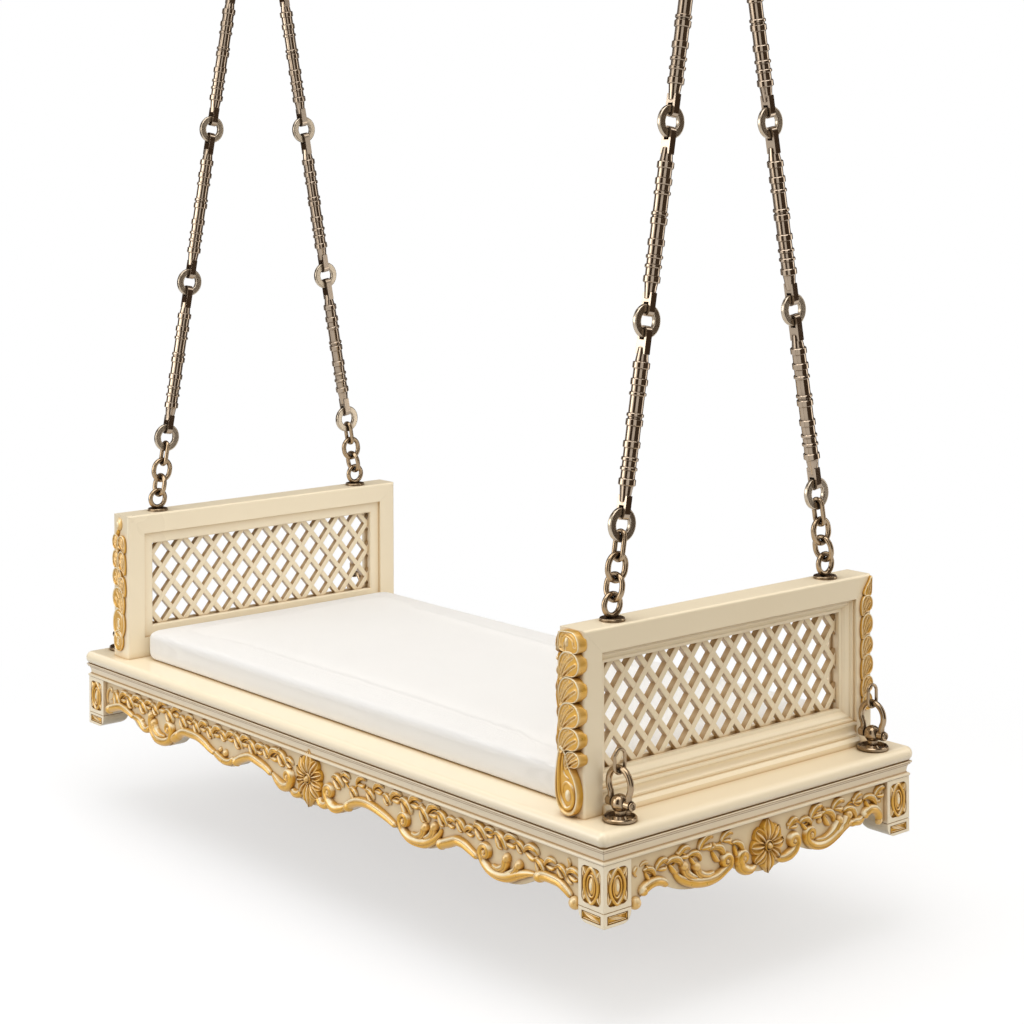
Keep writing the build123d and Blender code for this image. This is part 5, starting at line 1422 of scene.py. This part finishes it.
# ---------------------------------------------------------------- corner posts
@dataclass
class PostPanels:
    """Gilt panels let into the posts' outer faces: a pointed oval in the block, a lozenge in the foot."""

    shop: Workshop
    places: Places
    size: float = 56.0
    recess: float = 4.0
    foot_recess: float = 2.0
    middle: float = 58.0
    foot_middle: float = 11.0
    half_width: float = 20.6
    half_height: float = 27.6
    foot_half_height: float = 6.1

    def build(self) -> None:
        """Carve one panel and repeat it on all eight faces."""
        grounds = []
        for sx in (-1, 1):
            for sy in (-1, 1):
                x, y = sx * self.places.post_x, sy * self.places.post_y
                half = self.size / 2 * MM
                grounds.append(Ground((x - sx * half, y, self.places.feet), (-sy, 0, 0), (0, 0, 1), (0, sy, 0)))
                grounds.append(Ground((x, y - sy * half, self.places.feet), (0, sx, 0), (0, 0, 1), (sx, 0, 0)))
        mesh = self._panel().mesh("post_panels", grounds)
        self.shop.piece(mesh, "seat", Look.GILT, "gilding", ("corner_medallions",))

    @staticmethod
    def _corners(half_width: float, middle: float, half_height: float) -> list[Point]:
        """The corners of a rectangle, counted from the post's bottom middle."""
        low, high = middle - half_height, middle + half_height
        return [(-half_width, low), (half_width, low), (half_width, high), (-half_width, high)]

    def _panel(self) -> Carving:
        """One panel's carving, counted from the post's bottom middle."""
        work = Carving()
        self._medallion(work)
        self._lozenge(work)
        return work

    def _medallion(self, work: Carving) -> None:
        """The block's panel: a pointed oval with a boss, and leaves in its corners."""
        middle = self.middle
        ground = 1.9 - self.recess
        work.slab(self._corners(self.half_width, middle, self.half_height), -self.recess, ground)
        half = [(0, 26.5), (8.5, 18), (14.2, 6), (14.6, -4), (11, -15.5), (4.5, -24)]
        pointed = [(x, middle + y) for x, y in (*half, (0, -26.5), *((-x, y) for x, y in half[:0:-1]))]
        work.stroke(pointed, (2.9, 2.9), (4.4, 4.4), base=ground - 0.4, closed=True, step=2.2)
        turns = np.linspace(0, 2 * math.pi, 14, endpoint=False)
        oval = [(8.4 * math.cos(a), middle - 1 + 16.0 * math.sin(a)) for a in turns]
        work.stroke(oval, (1.8, 1.8), (3.4, 3.4), base=ground - 0.4, closed=True, step=2.2)
        work.dome((0, middle - 1), (6.4, 13.4), 3.2, base=ground - 0.2, cream_highlight_and_wear=0.1)
        work.dome((0, middle - 1), (3.0, 6.4), 1.6, base=ground + 2.6, cream_highlight_and_wear=0.8)
        for sx in (-1, 1):
            for sy in (-1, 1):
                root = (sx * 19.4, middle + sy * 26.4)
                for tip, width, height, cream_highlight_and_wear in (((10.5, 12.0), 3.8, 3.2, 0.15), ((17.6, 6.0), 2.8, 2.8, 0.1)):
                    end = (sx * tip[0], middle + sy * tip[1])
                    work.petal(root, end, width, height, 1, True, base=ground - 0.3, cream_highlight_and_wear=cream_highlight_and_wear)

    def _lozenge(self, work: Carving) -> None:
        """The foot's panel: a leaf in a small frame."""
        low, foot = -self.foot_recess, self.foot_middle
        work.slab(self._corners(self.half_width, foot, self.foot_half_height), low, low + 0.8)
        frame_line = self._corners(18.6, foot, 4.4)
        for start, end in zip(frame_line, [*frame_line[1:], frame_line[0]]):
            middle = ((start[0] + end[0]) / 2, (start[1] + end[1]) / 2)
            work.stroke([start, middle, end], (0.9, 0.9), (1.6, 1.6), base=low + 0.5)
        work.petal((-17, foot + 3.4), (17, foot - 3.4), 3.0, 1.8, 2, True, base=low + 0.5, cream_highlight_and_wear=0.35, full=0.5)


# ---------------------------------------------------------------- carved strips of the end frames
LEAF_SHAPE: tuple[Point, ...] = (
    (0.05, -0.14), (-0.02, 0.16), (0.0, 0.48), (0.10, 0.78), (0.30, 0.96), (0.58, 1.0), (0.84, 0.90),
    (0.99, 0.66), (1.0, 0.42), (0.90, 0.20), (0.70, 0.07), (0.46, 0.05), (0.26, -0.02), (0.14, -0.14),
)
LEAF_CUTS: tuple[tuple[Point, ...], ...] = (
    ((0.14, 0.0), (0.26, 0.32), (0.44, 0.58), (0.66, 0.78)),
    ((0.24, 0.04), (0.44, 0.24), (0.64, 0.40), (0.78, 0.50)),
    ((0.09, 0.16), (0.16, 0.44), (0.28, 0.70), (0.44, 0.84)),
)


@dataclass
class Strips:
    """Gilded strips on the front and back edges of the end frames."""

    shop: Workshop
    places: Places
    front: float = 13.5
    wrap: float = -5.5
    proud: float = 3.0
    low_front: float = 5.8
    back_front: float = 5.8

    def build(self) -> None:
        """Carve the four strips."""
        out_x, stile_y, deck = self.places.outer_x, self.places.stile_y, self.places.deck
        for end, side, work in (("right", 1, self._right()), ("left", -1, self._left())):
            front = Ground((side * out_x, -stile_y, deck), (-side, 0, 0), (0, 0, 1), (0, -1, 0))
            back = Ground((side * out_x, stile_y, deck), (0, -1, 0), (0, 0, 1), (side, 0, 0))
            for edge, carved, ground in (("front", work, front), ("back", self._back(), back)):
                mesh = carved.mesh(f"{end}_{edge}_leaves", [ground])
                self.shop.piece(mesh, "seat", Look.GILT, "gilding", (f"{end}_{edge}_carving",))

    def _right(self) -> Carving:
        """The right front strip: deep lobes, a curled top, a long scroll at the foot and a slim stem."""
        work = Carving(-1.0)
        deep = (self.wrap, self.front)
        for outer, low, high in ((44, 211, 252), (44, 172, 213), (44, 134, 175), (44, 100, 137), (31, 76, 102)):
            self._leaf(work, -self.proud, outer, low, high, deep)
        self._crown(work)
        self._foot_scroll(work)
        self._stem(work)
        return work

    def _left(self) -> Carving:
        """The left front strip, in lower relief: lobes, a bud on top and two volutes at the foot."""
        work = Carving(-1.0)
        shallow = (-0.3, self.low_front)
        for inner, outer, low, high in (
            (4, 28, 175, 214), (24, 50, 214, 243), (4, 27, 213, 245), (24, 50, 172, 213),
            (4, 38, 140, 179), (26, 50, 128, 162), (4, 46, 95, 141),
        ):
            self._leaf(work, inner, outer, low, high, shallow)
        work.dome((24, 264), (11, 13), self.low_front, cream_highlight_and_wear=0.2)
        work.dome((24, 264), (5, 6), 1.8, base=self.low_front - 0.8, cream_highlight_and_wear=0.7)
        work.stroke([(24, 254), (20, 247), (14, 241)], (4, 5, 4), (5, 5, 4), Section.REED)
        self._foot_volute(work, (26, 68), 22.0, 1.45, shallow)
        self._foot_volute(work, (24, 34), 17.0, 1.25, shallow)
        return work

    @staticmethod
    def _leaf(work: Carving, inner: float, outer: float, low: float, high: float, depth: Point) -> None:
        """One leaf lobe in its box.

        Args:
            work: the carving that gets it.
            inner, outer: its reach in from the frame's outer face.
            low, high: its reach above the deck.
            depth: where its thickness starts and ends.
        """
        wide, tall = outer - inner, high - low

        def fit(points: Sequence[Point]) -> list[Point]:
            """Points of the leaf's pattern in its box."""
            return [(outer - x * wide, low + y * tall) for x, y in points]

        dish = min(2.6, 0.4 * depth[1])
        work.lobe(fit(LEAF_SHAPE), *depth, dish=dish, cuts=[fit(cut) for cut in LEAF_CUTS])

    def _crown(self, work: Carving) -> None:
        """The curled top of the right strip, with its bud.

        Args:
            work: the carving that gets it.
        """
        shape = [(42, 252), (45, 268), (41, 279), (26, 281.5), (10, 281), (0, 272), (-3, 260), (2, 251), (20, 248)]
        cuts = [[(38, 254), (38, 268), (28, 276), (12, 271), (8, 260)], [(30, 252), (29, 262)]]
        work.lobe(shape, self.wrap, self.front, cuts=cuts)
        work.dome((25, 265), (5, 8), 4.5, base=self.front - 3.5, cream_highlight_and_wear=0.4)

    def _foot_scroll(self, work: Carving) -> None:
        """The long scroll at the right strip's foot: a leaf that winds down into a volute.

        Args:
            work: the carving that gets it.
        """
        shape = [
            (44, 104), (49, 84), (53, 56), (52, 28), (43, 9), (28, 2), (13, 7), (4, 22),
            (3, 42), (9, 60), (19, 74), (25, 86), (30, 98), (38, 106),
        ]
        dish = 3.4
        work.lobe(shape, self.wrap, self.front - 0.6, dish=dish)
        floor = self.front - 1.2 - dish
        winding = [
            (40, 100), (45, 78), (46, 52), (43, 28), (31, 14), (18, 17), (12, 30), (15, 46), (26, 53), (35, 46),
            (36, 34),
        ]
        work.stroke(winding, (2.4, 3.4, 3.8, 3.6, 3.0, 2.4), (3.4, 4.2, 4.4, 4.2, 4, 3.4), base=floor, step=1.8)
        inner = [(35, 92), (37, 74), (33, 64), (22, 58)]
        work.stroke(inner, (2.0, 2.8, 2.6, 1.6), (3, 3.8, 3.8, 3), base=floor, step=1.8)
        work.dome((25, 33), (6.4, 9.6), dish + 1.4, base=floor, cream_highlight_and_wear=0.5)

    @staticmethod
    def _foot_volute(work: Carving, eye: Point, radius: float, tall: float, depth: Point) -> None:
        """A big oval volute.

        Args:
            work: the carving that gets it.
            eye: its middle.
            radius: its half width.
            tall: its height over its width.
            depth: where its thickness starts and ends.
        """
        back, front = depth
        turns = np.linspace(0, 2 * math.pi, 16, endpoint=False)
        disc = [(eye[0] + radius * math.cos(a), eye[1] + radius * tall * math.sin(a)) for a in turns]
        dish = 0.3 * front
        work.lobe(disc, back, front - 0.6, dish=dish)
        line = spiral(eye, radius * 0.72, 3.0, 115, -1.45, tall)
        floor = front - 1.2 - dish
        work.stroke(line, (3.4, 3.8, 3.4, 2.8, 2.4), (dish + 0.5, dish + 0.5), base=floor, cream_highlight_and_wear=0.1, step=1.8)
        work.dome(eye, (radius * 0.26, radius * 0.34 * tall), dish + 0.8, base=floor, cream_highlight_and_wear=0.6)

    @staticmethod
    def _stem(work: Carving) -> None:
        """The slim stem with buds beside the right strip's lobes.

        Args:
            work: the carving that gets it.
        """
        line = [(47, 80), (49, 120), (47, 150), (50, 180), (48, 210), (47, 246)]
        work.stroke(line, (4.2, 5.2, 4.2, 5.2, 4.0, 4.4), (9, 10.5, 9, 10.5, 8.5, 9.5), Section.REED, cream_highlight_and_wear=0.05)
        for low, high, place in ((96, 128, 52), (138, 170, 50), (178, 206, 52), (206, 228, 50)):
            work.petal((place - 3, low), (place, high), 3.9, 11.0, 2, True, cream_highlight_and_wear=0.2)
        work.dome((50, 236), (4.6, 5.2), 11.0, cream_highlight_and_wear=0.4)
        for tip, width in (((52, 268), 4.6), ((51, 276), 4.2), ((52, 256), 3.8)):
            work.petal((48, 244), tip, width, 11.0, 2, True, cream_highlight_and_wear=0.2)

    def _back(self) -> Carving:
        """The back edge's strip on the frame's outer face."""
        work = Carving()
        depth = (-0.3, self.back_front)
        point = [(5, 250), (3, 268), (3, 281), (10, 272), (18, 262), (23, 252), (14, 247)]
        work.lobe(point, *depth, dish=1.6, cuts=[[(12, 252), (8, 270)]])
        for low, high in ((220, 250), (182, 219), (148, 182), (113, 150), (83, 114)):
            self._leaf(work, 1.5, 29, low, high, depth)
        self._foot_volute(work, (15, 70), 12.5, 1.25, depth)
        return work


# ---------------------------------------------------------------- lattice
@dataclass
class Lattice:
    """Crossed slats of the end frames, set in the inner moulding's groove."""

    shop: Workshop
    pitch_y: float = 48.5
    pitch_z: float = 57.5
    hole_share: float = 0.73
    hidden: float = 7.0
    ease: float = 0.9
    shortest: float = 4.0
    back_layer: float = 0.95

    def build(self) -> None:
        """Lay the slats of both end frames."""
        tree = self._tree()
        for end in ("left", "right"):
            low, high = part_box(f"{end}_jali")
            holder = self._holder(end, low, high)
            sample = self._slat(high.x - low.x)
            mesh = tree.run(holder, {"Slat": sample, "Paint": self.shop.paints.get(Look.SLAT)})
            mesh.name = f"{end}_lattice"
            for spare in (holder, sample):
                bpy.data.objects.remove(spare)
            self.shop.piece(mesh, "seat", Look.SLAT, "ivory_paint", (f"{end}_jali",))

    @staticmethod
    def _tree() -> GeometryTree:
        """Geometry Nodes that set one slat on each point, turned and stretched as the point says."""
        tree = GeometryTree("lattice_slats", {"Places": "Geometry", "Slat": "Object", "Paint": "Material"})
        turn, stretch = (
            tree.node("GeometryNodeInputNamedAttribute", {"data_type": "FLOAT_VECTOR"}, {"Name": name})
            for name in ("turn", "stretch")
        )
        turn = tree.node("FunctionNodeEulerToRotation", values={0: turn})
        copies = {"Points": tree.given["Places"], "Rotation": turn, "Scale": stretch}
        slats = tree.node("GeometryNodeInstanceOnPoints", values={**copies, "Instance": tree.sample("Slat")})
        tree.finish(slats, "Paint")
        return tree

    def _holder(self, end: str, low: Vector, high: Vector) -> bpy.types.Object:
        """Points at the slats' middles, each with its turn and stretch.

        Args:
            end: which end frame.
            low, high: the lattice panel's corners.
        Returns:
            The object that holds the points.
        """
        middle = (low + high) / 2
        half_y, half_z = (high.y - low.y) / 2, (high.z - low.z) / 2
        step_y, step_z = self.pitch_y * MM, self.pitch_z * MM
        angle = math.atan2(step_z, step_y)
        places, turns, stretches = [], [], []
        reach = int((half_y + half_z * step_y / step_z) / step_y) + 2
        for sign, thick in ((1, 1.0), (-1, self.back_layer)):
            slope = sign * step_z / step_y
            for number in range(-reach, reach):
                centre = (number + 0.5) * step_y
                first, last = sorted((centre - half_z / slope, centre + half_z / slope))
                a, b = max(first, -half_y), min(last, half_y)
                if b - a < self.shortest * MM:
                    continue
                y = (a + b) / 2
                places.append((middle.x, middle.y + y, middle.z + slope * (y - centre)))
                turns.append((sign * angle, 0.0, 0.0))
                stretches.append((thick, (b - a) / math.cos(angle) + self.hidden * MM, 1.0))
        mesh = bpy.data.meshes.new(f"{end}_slat_places")
        mesh.from_pydata(places, [], [])
        for name, values in (("turn", turns), ("stretch", stretches)):
            noted = mesh.attributes.new(name, "FLOAT_VECTOR", "POINT")
            noted.data.foreach_set("vector", np.array(values, np.float32).ravel())
        return put(f"{end}_slat_places", mesh)

    def _slat(self, thickness: float) -> bpy.types.Object:
        """One slat a metre long with eased edges, lying along Y.

        Args:
            thickness: its thickness along X.
        Returns:
            The slat, with a side value of 1 on the faces that look along the panel, which the paint darkens as
            painted shade.
        """
        span = self.pitch_y * self.pitch_z / math.hypot(self.pitch_y, self.pitch_z)
        cut = self.ease * MM
        x, z = thickness / 2, span * (1 - self.hole_share) * MM / 2
        half = [(x - cut, z), (-x + cut, z), (-x, z - cut), (-x, -z + cut)]
        section = [*half, *((-a, -b) for a, b in half)]
        count = len(section)
        points = [(a, along, b) for along in (-0.5, 0.5) for a, b in section]
        faces = [[k, (k + 1) % count, count + (k + 1) % count, count + k] for k in range(count)]
        faces += [list(range(count))[::-1], list(range(count, 2 * count))]
        mesh = bpy.data.meshes.new("slat")
        mesh.from_pydata(points, [], faces)
        # the side faces carry painted shade: the slat paint darkens them
        side = mesh.attributes.new("side", "FLOAT", "FACE")
        side.data.foreach_set("value", [float(abs(points[a][2]) == abs(points[b][2]) == z) for a, b, *_ in faces])
        face_out(mesh)
        return put("slat", mesh)


# ---------------------------------------------------------------- mattress
@dataclass
class Mattress:
    """A firm foam mattress in a close cotton cover."""

    shop: Workshop
    voxel: float = 0.009
    shrink: float = 0.0035
    swell: float = 0.0045
    edge: float = 0.011
    corner: float = 0.022
    frames: int = 20
    mass: float = 0.3
    stretch_stiffness: float = 40.0
    bending_stiffness: float = 4.0
    pressure: float = 4.0

    def build(self) -> None:
        """Make the block, puff its cover and put it on the deck."""
        low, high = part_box("mattress")
        mesh = self._block(low, high)
        mesh = self._puffed(mesh, low, high)
        made = self.shop.piece(mesh, "seat", Look.CLOTH, "mattress_cloth", ("mattress",))

    def _block(self, low: Vector, high: Vector) -> bpy.types.Mesh:
        """A rounded block a little smaller than its room.

        Args:
            low, high: the room's corners.
        Returns:
            The block's mesh.
        """
        work = bmesh.new()
        turns = np.linspace(0, math.pi / 2, 9)
        inset = self.shrink + self.corner
        rim = []
        for quarter, (x, y) in enumerate(((high.x, high.y), (low.x, high.y), (low.x, low.y), (high.x, low.y))):
            centre = (x - math.copysign(inset, x), y - math.copysign(inset, y))
            for turn in turns + quarter * math.pi / 2:
                rim.append((centre[0] + self.corner * math.cos(turn), centre[1] + self.corner * math.sin(turn)))
        base = work.faces.new([work.verts.new((x, y, low.z)) for x, y in rim])
        raised = bmesh.ops.extrude_face_region(work, geom=[base])
        lifted = [part for part in raised["geom"] if isinstance(part, bmesh.types.BMVert)]
        bmesh.ops.translate(work, vec=(0, 0, high.z - self.shrink - low.z), verts=lifted)
        bmesh.ops.recalc_face_normals(work, faces=work.faces)
        rims = [edge for edge in work.edges if abs(edge.verts[0].co.z - edge.verts[1].co.z) < 1e-6]
        bmesh.ops.bevel(work, geom=rims, offset=self.edge, segments=5, profile=0.6, affect="EDGES")
        mesh = bpy.data.meshes.new("mattress_cover")
        work.to_mesh(mesh)
        work.free()
        mesh.shade_smooth()
        return mesh

    def _puffed(self, mesh: bpy.types.Mesh, low: Vector, high: Vector) -> bpy.types.Mesh:
        """The cover after a short cloth run under light pressure.

        Args:
            mesh: the block.
            low, high: the room that it must keep to, apart from its crown.
        Returns:
            The crowned cover's mesh.
        """
        soft = put("mattress_soft", mesh)
        remesh = soft.modifiers.new("remesh", "REMESH")
        remesh.mode = "VOXEL"
        remesh.voxel_size = self.voxel
        even = baked(soft)
        soft.modifiers.clear()
        soft.data = even
        start = np.array([v.co for v in even.vertices])
        cloth = soft.modifiers.new("cloth", "CLOTH")
        settings = cloth.settings
        settings.quality = 5
        settings.mass = self.mass
        settings.tension_stiffness = settings.compression_stiffness = self.stretch_stiffness
        settings.bending_stiffness = self.bending_stiffness
        settings.use_pressure = True
        settings.uniform_pressure_force = self.pressure
        settings.effector_weights.gravity = 0
        cloth.point_cache.frame_start = 1
        cloth.point_cache.frame_end = self.frames
        scene = bpy.context.scene
        for number in range(1, self.frames + 1):
            scene.frame_set(number)
        shown = soft.evaluated_get(bpy.context.evaluated_depsgraph_get())
        result = bpy.data.meshes.new_from_object(shown)
        moved = np.array([v.co for v in result.vertices]) - start
        far = np.linalg.norm(moved, axis=1, keepdims=True)
        moved *= np.minimum(1, self.swell / np.maximum(far, 1e-9))
        places = start + moved
        places[:, 2] = np.maximum(places[:, 2], low.z)
        places[:, 0] = np.clip(places[:, 0], low.x, high.x)
        places[:, 1] = np.clip(places[:, 1], low.y, high.y)
        result.vertices.foreach_set("co", places.ravel())
        soft.modifiers.clear()
        soft.data = result
        finer = soft.modifiers.new("finer", "SUBSURF")
        finer.levels = finer.render_levels = 1
        final = baked(soft)
        final.name = "mattress_cover"
        final.shade_smooth()
        bpy.data.objects.remove(soft)
        scene.frame_set(1)
        return final


# ---------------------------------------------------------------- finishes of the CAD nodes
NODE_LOOKS: tuple[tuple[Look, tuple[str, ...]], ...] = (
    (Look.CORNICE, ("cornice_",)),
    (Look.APRON, ("apron_",)),
    (Look.WOOD, ("deck_panel", "cross_bearers")),
    (Look.STEEL, ("frame_bolts", "pin_nuts")),
    (Look.PEWTER, ("chain_rods",)),
    (Look.NICKEL, ("chain_rings", "top_ring")),
    (Look.BRONZE, ("chain_links", "eye_plates", "anchor_", "shackle", "spare_link")),
    (Look.BRONZE, ("_hook", "ceiling_brackets", "hinge_pins")),
)


def paint_nodes(paints: Paintbox) -> None:
    """Give each shown CAD node its finish.

    Args:
        paints: the finishes.
    """
    for name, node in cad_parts.items():
        look = next((look for look, words in NODE_LOOKS if any(word in name for word in words)), Look.IVORY)
        for place in node.material_slots:
            place.material = paints.get(look)
        if not node.material_slots:
            node.data.materials.append(paints.get(look))
        log.info("%s: %s", name, look.name)


# ---------------------------------------------------------------- studio
@dataclass(frozen=True)
class Lamp:
    """A soft square lamp: where it hangs and points, its width in metres, its power in watts and its colour."""

    name: str
    place: tuple[float, float, float]
    target: tuple[float, float, float]
    size: float
    power: float
    tint: tuple[float, float, float]

    def hang(self) -> None:
        """Put the lamp into the scene."""
        data = bpy.data.lights.new(self.name, "AREA")
        data.shape = "SQUARE"
        data.size = self.size
        data.energy = self.power
        data.color = self.tint
        lamp = put(self.name, data)
        lamp.location = self.place
        lamp.rotation_euler = (Vector(self.target) - Vector(self.place)).to_track_quat("-Z", "Y").to_euler()


@dataclass(frozen=True)
class Screens:
    """Tall panels round the studio that only what is glossy shows, as painted reflections: dark panels for dark
    bands, glowing strips for glints.

    Each span begins and ends at so many degrees round from the camera.
    """

    name: str
    spans: tuple[Point, ...]
    colour: tuple[float, float, float, float]
    strength: float
    reach: float = 2.7
    foot: float = -2.1
    top: float = 4.0
    steps: int = 7

    def stand(self, towards: float) -> None:
        """Put the panels into the scene.

        Args:
            towards: the camera's direction, in degrees.
        """
        tree = FinishTree(self.name)
        tree.close(tree.node("ShaderNodeEmission", values={"Color": self.colour, "Strength": self.strength}))
        points, faces = [], []
        for first, last in self.spans:
            turns = np.radians(np.linspace(towards + first, towards + last, self.steps))
            for a, b in zip(turns, turns[1:]):
                faces.append([len(points) + corner for corner in range(4)])
                points += [
                    (self.reach * math.cos(turn), self.reach * math.sin(turn), height)
                    for turn, height in ((a, self.foot), (b, self.foot), (b, self.top), (a, self.top))
                ]
        mesh = bpy.data.meshes.new(self.name)
        mesh.from_pydata(points, [], faces)
        mesh.materials.append(tree.material)
        panels = put(self.name, mesh)
        for rays in ("camera", "diffuse", "transmission", "shadow"):
            setattr(panels, f"visible_{rays}", False)


@dataclass(frozen=True)
class Studio:
    """A pale floor, soft lamps, screens for painted reflections and the camera."""

    place: tuple[float, float, float] = (3.0861, -2.4944, -0.8278)
    azimuth: float = 49.670
    roll: float = -0.233
    focal: float = 2145.25
    centre_row: float = 147.58
    frame_size: float = 1024.0
    sensor: float = 36.0
    floor_gap: float = 0.17
    floor_reach: float = 40.0
    paper: tuple = (0.44, 0.452, 0.475, 1)
    floor_glow: float = 0.56
    white_middle: Point = (0.1, -0.1)
    white_from: float = 0.95
    white_to: float = 2.1
    sky_light: float = 0.7
    sky_tint: tuple = (1.0, 0.955, 0.88, 1)
    lamps: tuple[Lamp, ...] = (
        Lamp("key", (0.6, -0.9, 1.8), (0.25, 0.0, -1.6), 3.2, 69.0, (1.0, 0.995, 1.0)),
        Lamp("front", (-1.6, -3.2, -0.6), (0.0, 0.0, -1.8), 1.8, 32.0, (1.0, 0.99, 0.97)),
        Lamp("right", (3.2, 0.6, -0.6), (0.3, 0.0, -1.8), 1.8, 16.0, (1.0, 0.88, 0.7)),
    )
    # painted reflections: dark panels and glowing strips that only glossy surfaces show, for dark bands and glints on
    # metal and gilding
    screens: tuple[Screens, ...] = (
        Screens(
            "dark_panels", ((-38.0, -6.0), (22.0, 82.0), (104.0, 140.0), (-132.0, -100.0), (150.0, 214.0)),
            (0.16, 0.11, 0.075, 1), 0.5,
        ),
        Screens("bright_strips", ((-66.0, -52.0), (88.0, 98.0)), (1.0, 0.96, 0.9, 1), 2.6),
    )

    def build(self, feet: float) -> None:
        """Set up the whole studio.

        Args:
            feet: height of the posts' feet.
        """
        self._camera()
        self._floor(feet - self.floor_gap)
        self._world()
        for screens in self.screens:
            screens.stand(math.degrees(math.atan2(self.place[1], self.place[0])))
        for lamp in self.lamps:
            lamp.hang()
        bpy.context.scene.view_settings.view_transform = "Standard"

    def _camera(self) -> None:
        """The camera at the viewing angle that shows the front and the right end."""
        data = bpy.data.cameras.new("camera")
        data.sensor_width = self.sensor
        data.sensor_fit = "HORIZONTAL"
        data.lens = self.focal / self.frame_size * self.sensor
        data.shift_y = (self.centre_row - self.frame_size / 2) / self.frame_size
        data.clip_end = 100.0
        camera = put("camera", data)
        turn = Matrix.Rotation(math.radians(self.azimuth), 4, "Z") @ Matrix.Rotation(math.pi / 2, 4, "X")
        camera.matrix_world = Matrix.Translation(self.place) @ turn @ Matrix.Rotation(math.radians(self.roll), 4, "Z")
        bpy.context.scene.camera = camera

    def _floor(self, height: float) -> None:
        """A wide floor that is white where nothing shades it.

        Args:
            height: how high it lies.
        """
        mesh = bpy.data.meshes.new("floor")
        reach = self.floor_reach
        corners = [(x * reach, y * reach, height) for x, y in ((-1, -1), (1, -1), (1, 1), (-1, 1))]
        mesh.from_pydata(corners, [], [[0, 1, 2, 3]])
        floor = put("floor", mesh)
        tree = FinishTree("floor")
        seen = tree.seen()
        shift = (-self.white_middle[0], -self.white_middle[1], -height)
        centred = tree.node("ShaderNodeMapping", values={"Vector": tree.spot, "Location": shift})
        away = tree.node("ShaderNodeVectorMath", {"operation": "LENGTH"}, {0: centred}, output="Value")
        far = tree.node(
            "ShaderNodeMapRange", {"interpolation_type": "SMOOTHERSTEP"},
            {"Value": away, "From Min": self.white_from, "From Max": self.white_to},
        )
        paper = tree.node("ShaderNodeBsdfDiffuse", values={"Color": self.paper})
        glow, bare = (
            tree.node("ShaderNodeEmission", values={"Color": (1, 1, 1, 1), "Strength": seen * strength})
            for strength in (self.floor_glow, 1.0)
        )
        near = tree.node("ShaderNodeAddShader", values={0: paper, 1: glow})
        tree.close(tree.node("ShaderNodeMixShader", values={0: far, 1: near, 2: bare}))
        mesh.materials.append(tree.material)

    def _world(self) -> None:
        """White where it is seen, softer and warmer where it lights."""
        world = bpy.data.worlds.new("studio")
        bpy.context.scene.world = world
        world.use_nodes = True
        world.node_tree.nodes.clear()
        tree = Nodes(world.node_tree)
        seen = tree.seen()
        strength = tree.node("ShaderNodeMapRange", values={"Value": seen, "To Min": self.sky_light, "To Max": 1.0})
        tint = tree.blend(seen, self.sky_tint, (1, 1, 1, 1))
        sky = tree.node("ShaderNodeBackground", values={"Color": tint, "Strength": strength})
        tree.close(sky, "ShaderNodeOutputWorld")


def main() -> None:
    """Build the studio, then dress the swing piece by piece."""
    logging.basicConfig(level=logging.INFO, format="%(name)s %(message)s")
    paints = Paintbox()
    shop = Workshop(paints)
    places = Places()
    Studio().build(places.feet)
    paint_nodes(paints)
    Aprons(shop, places).build()
    PostPanels(shop, places).build()
    Strips(shop, places).build()
    Lattice(shop).build()
    Mattress(shop).build()


if __name__ == "__main__":
    main()
